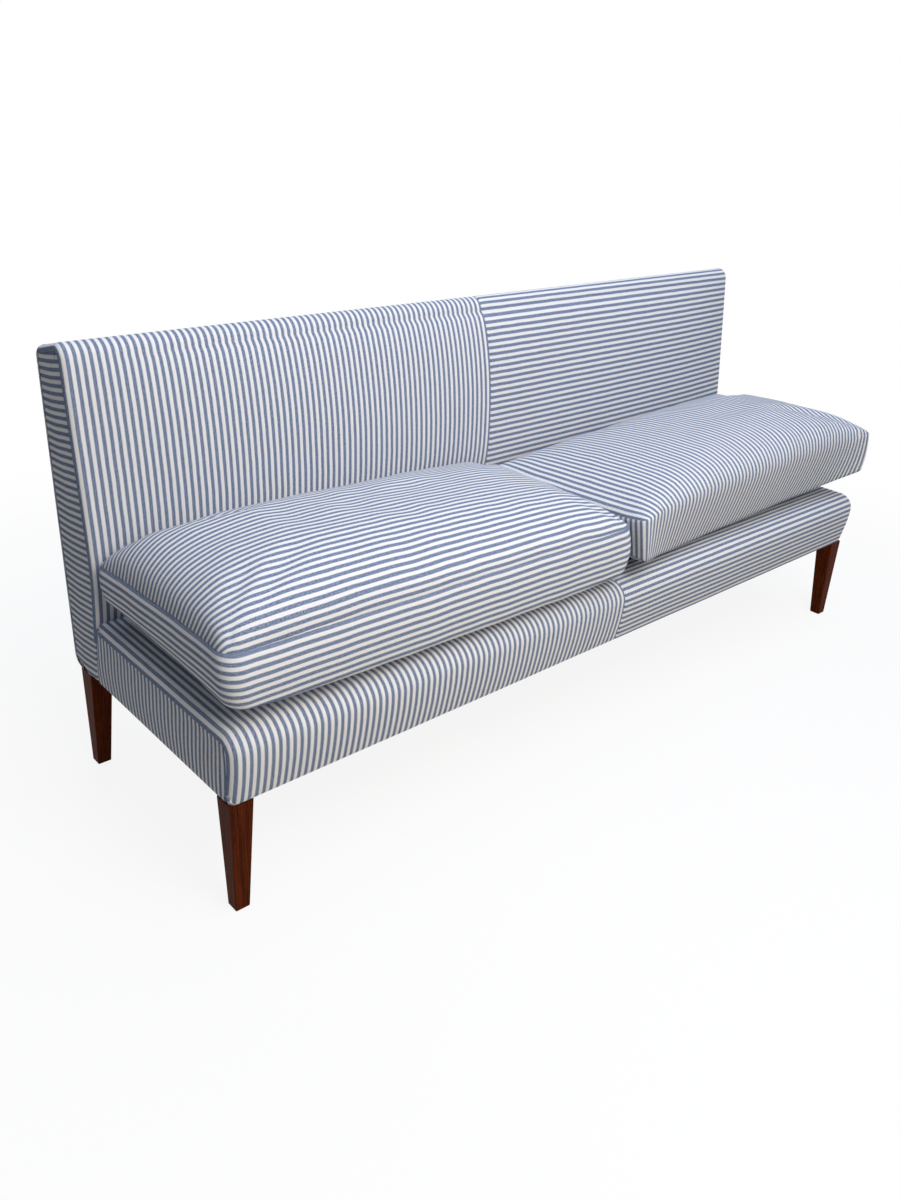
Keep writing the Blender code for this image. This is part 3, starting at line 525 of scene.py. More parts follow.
def back_swell(x, z):
    """How far the padding stands out before the line between the back's ends."""
    share = unit((z - DECK_TOP) / (BACK_TOP - BACK_TOP_RADIUS - DECK_TOP))
    pressed = BACK_LEAN * math.exp(-((z - BACK_LEAN_Z) / BACK_LEAN_REACH) ** 2)
    full = BACK_SWELL * max(math.sin(math.pi * share ** SWELL_SHIFT), 0.0) ** SWELL_BLUNT
    return mid_bench(x) * (full - pressed)


def back_top(y):
    """Height of the back's top, which falls to the rear."""
    front = back_front(BACK_TOP - BACK_TOP_RADIUS) + BACK_TOP_RADIUS
    return BACK_TOP - BACK_TOP_FALL * (y - front) / (BACK_REAR - BACK_REAR_RADIUS - front)


def back_rear(z):
    """Rear of the back at a height, rounded off at the hem."""
    below = min(max(HEM + HEEL_RADIUS - z, 0.0), HEEL_RADIUS)
    return BACK_REAR - HEEL_RADIUS + math.sqrt(HEEL_RADIUS ** 2 - below ** 2)


def up_deck(z):
    """Share of the way from the hem up to the bullnose."""
    return unit((z - HEM) / (NOSE_Z - HEM))


def deck_front(z):
    """Front of the deck at a height: upright at the hem, swelling to the bullnose."""
    return FRONT - BULGE * math.sin(up_deck(z) * math.pi / 2)


def back_side(low):
    """Points from low places up the front, over the top, which falls to the rear, and round its rear edge."""
    high = BACK_TOP - BACK_TOP_RADIUS
    points = [(back_front(z), z) for z in low + steps(low[-1], high, CLOSE_CELL)[1:]]
    top_front = back_front(high) + BACK_TOP_RADIUS
    points += arc((top_front, high), BACK_TOP_RADIUS, 180, 90)[1:]
    rear_y = BACK_REAR - BACK_REAR_RADIUS
    points += [(y, back_top(y)) for y in steps(top_front, rear_y, CELL)[1:]]
    return points + arc((rear_y, BACK_TOP - BACK_TOP_FALL - BACK_REAR_RADIUS), BACK_REAR_RADIUS, 90, 0)[1:]


def back_profile():
    """From behind the deck up the front, over the top and down to the seam at the rear."""
    tucked = DECK_TOP - 0.045
    even_to = BACK_TOP - 0.12
    points = back_side(steps(tucked, even_to, CELL))
    return Profile(points + [(BACK_REAR, z) for z in steps(points[-1][1], REAR_SEAM, 0.003)[1:]])


def deck_profile(turn):
    """From under the frame round the hem, up the front, over the bullnose and back to the tuck."""
    cell = 0.008
    points = [(FRONT + turn, HEM_CLOTH), (FRONT + turn / 2, HEM_CLOTH)]
    points += arc((FRONT + HEM_FOLD, HEM_CLOTH + HEM_FOLD), HEM_FOLD, 270, 180, 5)
    points += [(deck_front(z), z) for z in steps(HEM + cell, NOSE_Z, cell)]
    points += arc((NOSE_Y, NOSE_Z), BULLNOSE, 180, 90, 14)[1:]
    points += [(y, DECK_TOP) for y in steps(NOSE_Y, TUCK_Y - TUCK_RADIUS, CELL)[1:]]
    points += arc((TUCK_Y - TUCK_RADIUS, DECK_TOP - TUCK_RADIUS), TUCK_RADIUS, 90, 0, 5)[1:]
    return Profile(points + [(TUCK_Y, DECK_TOP - TUCK_DEPTH)])


def skewed(shape):
    """The back leans a little further at its right end than at its left one."""
    for vert in shape.verts:
        x, y, z = vert.co
        up = unit((z - KNEE_Z) / (BACK_TOP - KNEE_Z))
        ahead = unit((BACK_REAR - y) / (BACK_REAR - back_front(z)))
        vert.co.y += BACK_SKEW * max(x / HALF, 0.0) * up * ahead


def half_panel(side, profile, edge, end_cell, swell, shift=0.0):
    """Half of a cover that runs along the bench with a profile, from the middle seam to a rolled end, and
    its flat size. Stripes follow the profile on the left half; on the right half, where they start shift
    metres on, they run along the bench."""
    scene = bpy.context.scene
    depth = scene.banquette_shape.seam_depth
    flat = HALF - edge
    end = flat + edge * END_TURN
    # The columns that close up to the end lie on its rounding, so those of the seam are left out there.
    columns = joined(seam_steps(0.0, flat - 0.004, CLOSE_CELL)[:1 - len(SEAM_ROWS)],
                     steps(flat - 0.002, end, end_cell))

    def place(column, row):
        x, down = rolled_end(column, flat, edge)
        y, z = profile.points[row]
        out_y, out_z = profile.outward[row]
        lift = swell(x, y, z) - down
        lift -= pulled_in(column, depth) + pulled_in(end - column, depth)
        return side * max(x, MIDDLE_ROOM), y + out_y * lift, z + out_z * lift

    def weave(column, row):
        if side < 0:
            return striped(column, end, scene.banquette_cloth), profile.lengths[row]
        return profile.lengths[row] + shift, column

    return sewn_panel(columns, range(len(profile.points)), place, weave), (end, profile.lengths[-1])


class BANQUETTE_OT_back(Operator):
    """Sews the front and top covers, the end panels and the outside back over the padded back"""
    bl_idname = "banquette.back"
    bl_label = "Back covers"

    def execute(self, context):
        shape = context.scene.banquette_shape
        profile = back_profile()
        for hand, side in HANDS:
            panel, flat = half_panel(side, profile, shape.back_edge, BACK_END_CELL, self.swell)
            skewed(panel)
            cover(f"back_cover_{hand}", panel, flat, flip=side < 0)
            self.end_panel(hand, side, shape)
        self.outside(shape, context.scene.banquette_cloth)
        self.pads(profile, shape.back_edge)
        return {"FINISHED"}

    def swell(self, x, y, z):
        """How far the front cover stands out, a little unevenly; the top is flat."""
        if y > back_front(z) + BACK_TOP_RADIUS:
            return 0.0
        full = back_swell(x, z)
        return full + uneven((x, y, z), size=0.16, depth=0.05) * full

    def pads(self, profile, edge):
        """Foam and wadding that fill the back up to its covers."""
        foam_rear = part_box("back_foam")[1].y
        front = [spot for spot in zip(profile.points, profile.outward) if spot[0][0] < foam_rear - 0.002]
        top_low, top_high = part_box("back_top_wadding")
        rear_low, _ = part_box("outside_back_wadding")
        corner = (BACK_REAR - BACK_REAR_RADIUS, BACK_TOP - BACK_TOP_FALL - BACK_REAR_RADIUS)

        def foam(x, inset):
            line = []
            for (y, z), (out_y, out_z) in front:
                lift = back_swell(x, z) - inset
                line.append((y + out_y * lift, z + out_z * lift))
            return line + [(foam_rear, line[-1][1]), (foam_rear, line[0][1])]

        def top_wadding(x, inset):
            thinnest = top_low.z + 0.0005
            line = [(y, max(back_top(y) - inset, thinnest)) for y in steps(top_low.y, top_high.y, CELL)]
            return line + [(top_high.y, top_low.z), (top_low.y, top_low.z)]

        def rear_wadding(x, inset):
            line = [(back_rear(z) - inset, z) for z in steps(rear_low.z, corner[1], CELL)[:-1]]
            line += arc(corner, BACK_REAR_RADIUS - inset, 0, 90)
            return line + [(rear_low.y, line[-1][1]), (rear_low.y, rear_low.z)]

        # A column of a pad has its place along the bench and how much further in it lies there; the last two
        # columns round off the end.
        half = [(x, 0.0) for x in steps(0.0, HALF - edge, 0.03)]
        half += [(HALF - 0.4 * edge, 0.2 * edge), (HALF - PAD_INSET, 0.7 * edge)]
        columns = [(-x, inset) for x, inset in reversed(half)] + half[1:]
        for node_name, section in (("back_foam", foam), ("back_top_wadding", top_wadding),
                                   ("outside_back_wadding", rear_wadding)):
            count = len(section(0.0, PAD_INSET))

            def place(column, row):
                x, inset = column
                return (x, *section(x, inset + PAD_INSET)[row % count])

            def weave(column, row):
                return column[0], row * CELL

            pad = sewn_panel(columns, range(count + 1), place, weave)
            bmesh.ops.remove_doubles(pad, verts=pad.verts, dist=WELD)
            bmesh.ops.holes_fill(pad, edges=[rim for rim in pad.edges if rim.is_boundary], sides=0)
            bmesh.ops.recalc_face_normals(pad, faces=pad.faces)
            skewed(pad)
            piece = add_piece("filled", node_name, pad)

    def end_panel(self, hand, side, shape):
        """The narrow panel that closes an end of the back, stripes lying level: rings that run round its
        seam and close up to a line up its middle."""
        edge = shape.back_edge
        turn = edge * (math.pi / 2 - END_TURN)
        spine_top = BACK_TOP - 0.055
        levels = steps(HEM, spine_top, CELL)
        points = back_side(levels)
        points += [(BACK_REAR, z) for z in steps(points[-1][1], spine_top, 0.008)[1:]]
        outline = Profile(points + [(back_rear(z), z) for z in reversed(levels[:-1])])
        rings = [(inset, 0.0) for inset in SEAM_ROWS] + [(SEAM_ROWS[-1], share) for share in (0.3, 0.65, 1.0)]
        sunk = 0.0012
        fullness = 0.0015
        cut_width = 0.13
        # The stripes are cut square to the leaning front and sag towards the rear, more so higher up.
        low_sag = 0.008
        more_sag = 0.009

        def on_panel(column, ring):
            """(y, z) on the flat panel, and how far the cloth turns in there."""
            inset, share = ring
            y, z = outline.points[column]
            level = min(z, spine_top)
            out_y, out_z = outline.outward[column]
            forward, down = rolled(turn - inset, edge)
            y += out_y * (forward - edge)
            z += out_z * (forward - edge)
            middle = (back_front(level) + back_rear(level)) / 2
            return y + (middle - y) * share, z + (level - z) * share, down

        def place(column, ring):
            y, z, down = on_panel(column, ring)
            inset, share = ring
            full = fullness * share - sunk
            return side * (HALF - down - pulled_in(inset, shape.seam_depth) + full), y, max(z, HEM_CLOTH)

        def weave(column, ring):
            y, z, _ = on_panel(column, ring)
            ahead = max((back_rear(z) - y) / (back_rear(z) - back_front(z)), 0.0)
            rise = (low_sag + more_sag * (z - HEM) / (BACK_TOP - HEM)) * ahead ** 1.4
            return z - rise, y

        panel = sewn_panel(range(len(outline.points)), rings, place, weave)
        bmesh.ops.remove_doubles(panel, verts=panel.verts, dist=WELD)
        low = HEM_CLOTH + 0.0002
        hem = [rim for rim in panel.edges if rim.is_boundary and all(vert.co.z < low for vert in rim.verts)]
        shift_grown(panel, bmesh.ops.extrude_edge_only(panel, edges=hem), (-side * shape.hem_turn, 0.0, 0.0))
        skewed(panel)
        area = sum(face.calc_area() for face in panel.faces)
        cover(f"back_end_cover_{hand}", panel, (cut_width, BACK_TOP - HEM), flip=side > 0)

    def outside(self, shape, cloth):
        """The single panel behind the back, stripes upright."""
        edge = shape.back_edge
        depth = shape.seam_depth
        flat = HALF - edge
        wide = flat + edge * END_TURN
        half = joined(steps(0.0, flat - CELL, CELL), steps(flat, wide, BACK_END_CELL))
        columns = [-place for place in reversed(half)] + half[1:]
        # A row has its height and how far it lies past the hem, under the frame.
        rows = [(HEM, past) for past in (-shape.hem_turn, -shape.hem_turn / 2, 0.0)]
        rows += [(z, 0.0) for z in steps(HEM, HEM + HEEL_RADIUS, 0.004)[1:]]
        rows += [(z, 0.0) for z in seam_steps(HEM + HEEL_RADIUS, REAR_SEAM - 0.0004, CELL)[1:]]

        def place(column, row):
            z, turned = row
            x, down = rolled_end(column, flat, edge)
            y = back_rear(z) - down + turned
            y -= pulled_in(wide - abs(column), depth) + pulled_in(REAR_SEAM - z, depth)
            y += uneven((x, y, z), size=0.2, depth=0.0008) * mid_bench(x)
            return x, y, max(z, HEM_CLOTH)

        def weave(column, row):
            return striped(column + wide, 2 * wide, cloth), sum(row)

        panel = sewn_panel(columns, rows, place, weave)
        cover("outside_back_cover", panel, (2 * wide, REAR_SEAM - HEM + shape.hem_turn),
              flip=True)


class BANQUETTE_OT_deck(Operator):
    """Sews the covers and end panels over the padded deck"""
    bl_idname = "banquette.deck"
    bl_label = "Deck covers"

    def execute(self, context):
        shape = context.scene.banquette_shape
        profile = deck_profile(shape.hem_turn)
        for hand, side in HANDS:
            panel, flat = half_panel(side, profile, shape.deck_edge, DECK_END_CELL, self.swell, shift=0.002)
            cover(f"deck_cover_{hand}", panel, flat, flip=side < 0)
            self.end_panel(hand, side, shape)
        return {"FINISHED"}

    def swell(self, x, y, z):
        """Unevenness of the deck's front."""
        front = unit((NOSE_Y - y) / BULLNOSE)
        return uneven((x, y, z), size=0.14, depth=0.0011) * front * mid_bench(x, 6)

    def end_panel(self, hand, side, shape):
        """The panel that closes an end of the deck, stripes upright, rounded at the top of its front. Its
        columns and rows are counted from the middle of that rounding."""
        edge = shape.deck_edge
        bend = BULLNOSE - edge
        most = bend + edge * (math.pi / 2 - END_TURN)
        low = HEM - NOSE_Z
        under_back = 0.016
        rear = back_front(HEM) + under_back - NOSE_Y
        rim = [most - place for place in (0.0, 0.0013, 0.003)]
        inner = steps(0.0, most - 0.0065, 0.0052)
        fronts = [-place for place in rim + inner[::-1]] + steps(0.0, rear, 0.014)[1:]
        ups = [low - shape.hem_turn, low - shape.hem_turn / 2] + steps(low, -0.006, 0.009) + inner + rim[::-1]
        sunk = 0.0015
        fullness = 0.002
        # The front seam takes in a slip of cloth towards the hem, so that a white stripe runs out there.
        slip = 0.0085
        slip_reach = 0.09
        hold_reach = 0.22

        def corner(column, row):
            """How far a point is from the flat part of the panel, and which way that is."""
            ahead = max(-column, 0.0)
            above = max(row, 0.0)
            return max(ahead, above), Vector((ahead, above)).normalized()

        def place(column, row):
            inward = max(low - row, 0.0) + sunk
            row = max(row, low)
            past, way = corner(column, row)
            forward, down = rolled(past - bend, edge)
            y = NOSE_Y + max(column, 0.0) - way.x * (bend + forward)
            z = NOSE_Z + min(row, 0.0) + way.y * (bend + forward)
            inward += down + pulled_in(most - past, shape.seam_depth)
            # Where it passes under the end panel of the back, it sinks by half of its way.
            inward += min(max(y - back_front(z) - 0.002, 0.0), 0.008) / 2
            # Its front edge follows the deck's front, and less so further back.
            hold = max(1 - (column + BULLNOSE) / hold_reach, 0.0)
            y += (deck_front(z) - FRONT + BULGE) * hold
            if past == 0:
                inward -= fullness * math.sin(math.pi * up_deck(z))
            return side * (HALF - inward), y, max(z, HEM_CLOTH)

        def weave(column, row):
            past, way = corner(column, row)
            y = max(column, 0.0) - way.x * past
            z = min(row, 0.0) + way.y * past
            taken = slip * unit(1 - row / low) * max(1 - (column + most) / slip_reach, 0.0)
            return y + most - taken, z

        panel = sewn_panel(fronts, ups, place, weave)
        cover(f"deck_end_cover_{hand}", panel, (fronts[-1] - fronts[0], ups[-1] - ups[0]),
              flip=side < 0)


# The cushions

# The ends are drawn in between their corners, and the underside curves down to the deck within UNDER_REACH.
DRAW_IN = 0.006
UNDER_REACH = 0.11
# Below 1 it makes the dome of the top fuller towards its edges.
DOME_BLUNT = 0.55
# Room between the cushions on each side of the middle, to the back's cover and to the solid's rear, and how
# far the cover hangs over the deck's rounded front.
CUSHION_ROOM = 0.0025
BACK_ROOM = 0.0015
REAR_ROOM = 0.0012
OVERHANG = 0.004
# The filling lies this far inside the cover, and the rows of cloth by a seam close up to this near to it.
FILLING_INSET = 0.006
SEAM_CLOSE = 0.0018
FACET_ROUNDS = 2
# Shares of the front between which its top seam can be soft, how near the seam's own edges lie, and how far
# the softness reaches.
SOFT_FROM = 0.07
SOFT_TO = 0.95
SOFT_SEAM = 0.02
SOFT_REACH = 0.04


class Cushion:
    """One box cushion, from the room of its solid cover. The corners of its two seams, in the order front
    left, front right, rear left, rear right, are given by how far out of that room they lie and by their
    height above its floor. A bow says how far a front seam is drawn back and lifted between its corners,
    end_sag how far the top seam drops at the left end, and soft_front how often the front's top seam is
    smoothed."""

    def __init__(self, hand, side, top, low, top_bow, low_bow, radius, crown, blunt, bulge,
                 end_sag=0.0, corner_band=None, soft_front=0):
        floor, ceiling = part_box(f"cushion_cover_{hand}")
        self.hand = hand
        self.side = side
        self.floor = floor.z
        self.rear = ceiling.y
        self.seams = []
        for corners, bow in ((low, low_bow), (top, top_bow)):
            rim = []
            for index, (out_x, out_y, height) in enumerate(corners):
                x = ceiling.x + out_x if index % 2 else floor.x - out_x
                y = ceiling.y + out_y if index > 1 else floor.y - out_y
                rim.append(Vector((x, y, floor.z + height)))
            self.seams.append((rim, Vector((0.0, *bow))))
        rim = self.seams[1][0]
        self.half_wide = (rim[1].x - rim[0].x) / 2
        self.half_deep = (rim[2].y - rim[0].y) / 2
        self.boxing = rim[0].z - self.seams[0][0][0].z
        self.radius = radius
        self.crown = crown
        self.blunt = blunt
        self.bulge = bulge
        self.end_sag = end_sag
        self.corner_band = corner_band
        self.soft_front = soft_front
        self.lengthwise = side < 0

    def rounded(self, a, b):
        """Rounds the corners of the square that a and b span from -1 to 1."""
        radius = self.radius[0 if b < 0 else 1]
        x = a * self.half_wide
        y = b * self.half_deep
        over_x = abs(x) - (self.half_wide - radius)
        over_y = abs(y) - (self.half_deep - radius)
        if over_x > 0 and over_y > 0:
            way = Vector((over_x, over_y)).normalized() * max(over_x, over_y)
            x = math.copysign(self.half_wide - radius + way.x, x)
            y = math.copysign(self.half_deep - radius + way.y, y)
        return x / self.half_wide, y / self.half_deep

    def place(self, a, b, c):
        """Where a point of the cover lies before the cushion is stuffed: c is 1 on the top, -1 underneath."""
        s, t = self.rounded(a, b)
        right = (s + 1) / 2
        ahead = (1 - t) / 2
        bulge = self.bulge * (1 - c * c)
        rows = []
        for corners, bow in self.seams:
            spot = corners[2].lerp(corners[3], right).lerp(corners[0].lerp(corners[1], right), ahead)
            spot += bow * (1 - s ** 4) * ahead ** 2
            spot.x += s * (bulge - DRAW_IN * (1 - t * t))
            spot.z += uneven(spot, size=0.05, depth=0.0015)
            rows.append(spot)
        rows[1].z -= self.end_sag * (1 - t ** 4) * ((1 - s) / 2) ** 4
        spot = rows[0].lerp(rows[1], (c + 1) / 2)
        spot.y += min(t, 0.0) * bulge
        if c >= 1:
            middle, slope = self.crown
            full = max((1 - abs(a) ** self.blunt) * (1 - b ** 4), 0.0) ** DOME_BLUNT
            lumps = uneven((spot.x, spot.y, 0.0), size=0.06, depth=0.003)
            spot.z += full * (middle + slope * a + lumps)
        elif c <= -1:
            inside = min((1 - abs(a)) * self.half_wide, (1 - abs(b)) * self.half_deep)
            share = min(inside / UNDER_REACH, 1.0)
            down = (math.sin(share * math.pi / 2) + 1 - math.cos(share * math.pi)) / 3
            spot.z -= (spot.z - self.floor) * down
        return spot

    def at_front(self, place, reach):
        """Whether a point lies by a soft front's top seam, clear of its corners."""
        corners, bow = self.seams[1]
        share = (place.x - corners[0].x) / (corners[1].x - corners[0].x)
        if not self.soft_front or not SOFT_FROM < share < SOFT_TO:
            return False
        line = corners[0].lerp(corners[1], share) + bow * (1 - (2 * share - 1) ** 4)
        return math.dist(line[1:], place[1:]) < reach

    def matched(self, run, cloth):
        """Distance across the stripes of a boxing whose front carries on the stripes of the top."""
        return striped(run, 2 * self.half_wide, cloth)

    def on_cloth(self, across, along, lengths, on_top, cloth):
        """Where a point of the top or bottom lies on the flat cloth: (across the stripes, along them)."""
        front, middle = lengths
        behind = along * middle
        if not self.lengthwise:
            return self.matched(across * front, cloth), behind
        # The front seam takes in the white stripe by the boxing at the corners and lets it out between.
        let_out = 0.0062
        let_out_reach = 0.12
        first_stripe = 0.0072
        left, right = self.corner_band
        near = max(1 - across * front / left, 0.0) + max(1 - (1 - across) * front / right, 0.0)
        ease = math.exp(-behind / let_out_reach) * let_out * (1 - min(near, 1.0) ** 0.8)
        return (ease if on_top else 0.0) - behind - first_stripe, across * front

    def held(self, place):
        """Keeps the cover off the deck, the back and the other cushion."""
        x = max(abs(place.x), CUSHION_ROOM) * self.side
        z = max(place.z, self.floor if place.y > NOSE_Y else self.floor - OVERHANG)
        y = min(place.y, back_front(z) - back_swell(x, z) - BACK_ROOM, self.rear - REAR_ROOM)
        return Vector((x, y, z))


def cut_cushion(cushion, cell, cloth):
    """The cushion's cover as cut and sewn: a top and a bottom with a boxing strip between them."""
    shape = bmesh.new()
    bmesh.ops.create_cube(shape, size=2.0)
    sides = (2 * cushion.half_wide, 2 * cushion.half_deep, cushion.boxing)
    counts = [int(side / cell) + 1 for side in sides]
    for axis in range(3):
        edges = [edge for edge in shape.edges if abs(edge.verts[0].co[axis] - edge.verts[1].co[axis]) > 1.0]
        bmesh.ops.subdivide_edges(shape, edges=edges, cuts=counts[axis] - 1, use_grid_fill=True)
    seam = shape.verts.layers.int.new("seam")
    still = shape.verts.layers.int.new("still")
    layer = shape.loops.layers.uv.new("weave")
    spots = {}
    for vert in shape.verts:
        spots[vert] = tuple(round((vert.co[axis] + 1) / 2 * counts[axis]) for axis in range(3))
    shape.normal_update()
    flat = {face: round(face.normal.z) for face in shape.faces}
    for vert, (i, j, k) in spots.items():
        edge = i in (0, counts[0]) or j in (0, counts[1])
        vert[seam] = 1 if edge and k in (0, counts[2]) else 0
        # The filling moves neither the seams nor the zip's boxing, nor the underside, which lies on the deck.
        vert[still] = 1 if vert[seam] or k == 0 or j == counts[1] else 0
        vert.co = cushion.held(cushion.place(*vert.co))
    places = {spot: vert.co.copy() for vert, spot in spots.items()}
    round_it = girth(places, counts)
    whole = round_it[None]
    runs = {level: cloth_runs(places, counts, level) for level in (0, counts[2])}
    for face in shape.faces:
        for loop in face.loops:
            i, j, k = spots[loop.vert]
            if flat[face]:
                across, along = runs[k][i, j]
                loop[layer].uv = cushion.on_cloth(across, along, runs[k][None], k > 0, cloth)
                continue
            run = round_it[i, j]
            if run < whole / 4 and any(round_it[spots[vert][:2]] > whole / 2 for vert in face.verts):
                run += whole
            drop = running([places[i, j, level] for level in range(k, counts[2] + 1)])[-1]
            loop[layer].uv = (drop, run) if cushion.lengthwise else (cushion.matched(run, cloth), drop)
    return shape


def girth(places, counts):
    """How far round the boxing each point lies from the front's left corner, less before it and more after
    it, with the ends at the middle of the rear, and under None the whole way round."""
    wide, deep, tall = counts
    rim = [(i, deep) for i in range(wide // 2, 0, -1)] + [(0, j) for j in range(deep, 0, -1)]
    corner = len(rim)
    rim += [(i, 0) for i in range(wide)] + [(wide, j) for j in range(deep)]
    rim += [(i, deep) for i in range(wide, wide // 2, -1)]
    lengths = running([places[(*spot, tall)][:2] for spot in rim + rim[:1]])
    runs = {spot: run - lengths[corner] for spot, run in zip(rim, lengths)}
    runs[None] = lengths[-1]
    return runs


def cloth_runs(places, counts, level):
    """How far each point of the top or bottom is from the left seam and from the front seam, over the dome
    and as a share of the whole way, and under None the lengths of the front seam and of the middle line."""
    columns = range(counts[0] + 1)
    rows = range(counts[1] + 1)
    across = [running([places[i, j, level] for i in columns]) for j in rows]
    along = [running([places[i, j, level] for j in rows]) for i in columns]
    runs = {(i, j): (across[j][i] / across[j][-1], along[i][j] / along[i][-1]) for i in columns for j in rows}
    runs[None] = (across[0][-1], along[counts[0] // 2][-1])
    return runs


def stuffed(cushion, shape, settings):
    """Swells the cover by cloth simulation and leaves the result in the bmesh."""
    mesh = bpy.data.meshes.new("stuffing")
    shape.verts.index_update()
    shape.to_mesh(mesh)
    bag = bpy.data.objects.new("stuffing", mesh)
    scene = bpy.context.scene
    scene.collection.objects.link(bag)
    fixed = shape.verts.layers.int["still"]
    still = bag.vertex_groups.new(name="still")
    still.add([vert.index for vert in shape.verts if vert[fixed]], 1.0, "REPLACE")
    cloth = bag.modifiers.new("stuffing", "CLOTH")
    cloth.settings.quality = 6
    cloth.settings.mass = 0.3
    cloth.settings.tension_stiffness = 18
    cloth.settings.compression_stiffness = 18
    cloth.settings.shear_stiffness = 6
    cloth.settings.bending_stiffness = 2.0
    cloth.settings.use_pressure = True
    cloth.settings.uniform_pressure_force = settings.stuffing
    cloth.settings.vertex_group_mass = "still"
    cloth.settings.effector_weights.gravity = 0.0
    cloth.collision_settings.use_collision = False
    for moment in range(1, settings.stuffing_frames + 1):
        scene.frame_set(moment)
    result = bag.evaluated_get(bpy.context.evaluated_depsgraph_get())
    moves = {vert: there.co - vert.co for vert, there in zip(shape.verts, result.data.vertices)}
    for move in moves.values():
        if move.length > settings.stuffing_reach:
            move *= settings.stuffing_reach / move.length
    # A filling of fibre evens out the sharpest folds.
    for _ in range(3):
        eased = {}
        for vert, move in moves.items():
            around = [moves[edge.other_vert(vert)] for edge in vert.link_edges]
            eased[vert] = move if vert[fixed] else move.lerp(sum(around, Vector()) / len(around), 0.5)
        moves = eased
    for vert, move in moves.items():
        vert.co = cushion.held(vert.co + move)
    scene.frame_set(1)
    bpy.data.objects.remove(bag)
    bpy.data.meshes.remove(mesh)


def pull_seams(shape, depth):
    """Draws each seam in to a groove: the rows of cloth next to it close up and it sinks between them."""
    layer = shape.loops.layers.uv["weave"]
    seam = shape.verts.layers.int["seam"]
    shape.normal_update()
    sewn = [vert for vert in shape.verts if vert[seam]]
    sink = {vert: vert.normal * depth for vert in sewn}
    for vert in sewn:
        for edge in vert.link_edges:
            other = edge.other_vert(vert)
            if other[seam]:
                continue
            share = min(SEAM_CLOSE / max(edge.calc_length(), WELD), 1.0)
            face = edge.link_faces[0]
            start = next(loop for loop in face.loops if loop.vert is vert)[layer].uv.copy()
            end = next(loop for loop in face.loops if loop.vert is other)[layer].uv.copy()
            cut = start.lerp(end, share)
            other.co = vert.co.lerp(other.co, share)
            for loop in other.link_loops:
                loop[layer].uv = cut
    for vert, move in sink.items():
        vert.co -= move


def smoothed(shape, verts, rounds):
    """Eases points towards their neighbours."""
    for _ in range(rounds):
        bmesh.ops.smooth_vert(shape, verts=verts, factor=0.5, use_axis_x=True, use_axis_y=True,
                              use_axis_z=True)


class BANQUETTE_OT_cushions(Operator):
    """Sews the two box cushions, stuffs them by cloth simulation and fills them"""
    bl_idname = "banquette.cushions"
    bl_label = "Cushions"

    def execute(self, context):
        left = Cushion("left", -1,
                       top=((0.0057, -0.0196, 0.136), (-0.0008, -0.0066, 0.131),
                            (0.0087, -0.0016, 0.130), (-0.0008, -0.0016, 0.135)),
                       low=((0.0047, -0.0086, 0.048), (-0.0048, -0.0016, 0.038),
                            (0.0047, -0.0016, 0.063), (-0.0048, -0.0016, 0.055)),
                       top_bow=(0.006, -0.004), low_bow=(0.010, -0.016), radius=(0.034, 0.018),
                       crown=(0.070, -0.019), blunt=7, bulge=0.007, corner_band=(0.24, 0.13))
        right = Cushion("right", 1,
                        top=((-0.0028, 0.0044, 0.143), (-0.0003, -0.0076, 0.166),
                             (-0.0028, -0.0016, 0.123), (-0.0003, -0.0016, 0.150)),
                        low=((-0.0168, 0.0094, 0.052), (-0.0023, -0.0046, 0.072),
                             (-0.0088, -0.0016, 0.063), (-0.0043, -0.0016, 0.073)),
                        top_bow=(0.012, 0.008), low_bow=(0.055, -0.036), radius=(0.010, 0.014),
                        crown=(0.055, 0.014), blunt=5, bulge=0.003, end_sag=0.012, soft_front=24)
        for cushion in (left, right):
            self.sew(cushion, context.scene.banquette_shape, context.scene.banquette_cloth)
        return {"FINISHED"}

    def sew(self, cushion, settings, cloth):
        """Cuts, stuffs and fills one cushion."""
        shape = cut_cushion(cushion, settings.cushion_cell, cloth)
        seam = shape.verts.layers.int["seam"]
        for edge in shape.edges:
            soft = all(cushion.at_front(vert.co, SOFT_SEAM) for vert in edge.verts)
            edge.seam = all(vert[seam] for vert in edge.verts) and not soft
        stuffed(cushion, shape, settings)
        core = shape.copy()
        core.normal_update()
        for vert in core.verts:
            vert.co -= vert.normal * FILLING_INSET
        bmesh.ops.subdivide_edges(shape, edges=shape.edges, cuts=1, use_grid_fill=True)
        # Halving put new points on the seams, and the soft part of a front seam counts no more.
        for vert in shape.verts:
            vert[seam] = 1 if any(edge.seam for edge in vert.link_edges) else 0
        smoothed(shape, [vert for vert in shape.verts if not vert[seam]], FACET_ROUNDS)
        # Where matched stripes hide the front seam, the cover bends round it softly.
        front = [vert for vert in shape.verts if cushion.at_front(vert.co, SOFT_REACH)]
        smoothed(shape, front, cushion.soft_front)
        pull_seams(shape, settings.seam_depth)
        for vert in shape.verts:
            vert.co = cushion.held(vert.co)
        body = f"cushion_{cushion.hand}"
        piece = add_piece("stuffed", f"cushion_cover_{cushion.hand}", shape, body)
        inside = add_piece("filling", f"cushion_core_{cushion.hand}", core, body)


# Zips and the underside

TAPE_THICKNESS = 0.0006
TOOTH = Vector((0.0017, 0.0014, 0.0036))
TOOTH_PITCH = 0.0026
TOOTH_OFFSET = 0.0009
TOOTHLESS_END = 0.006
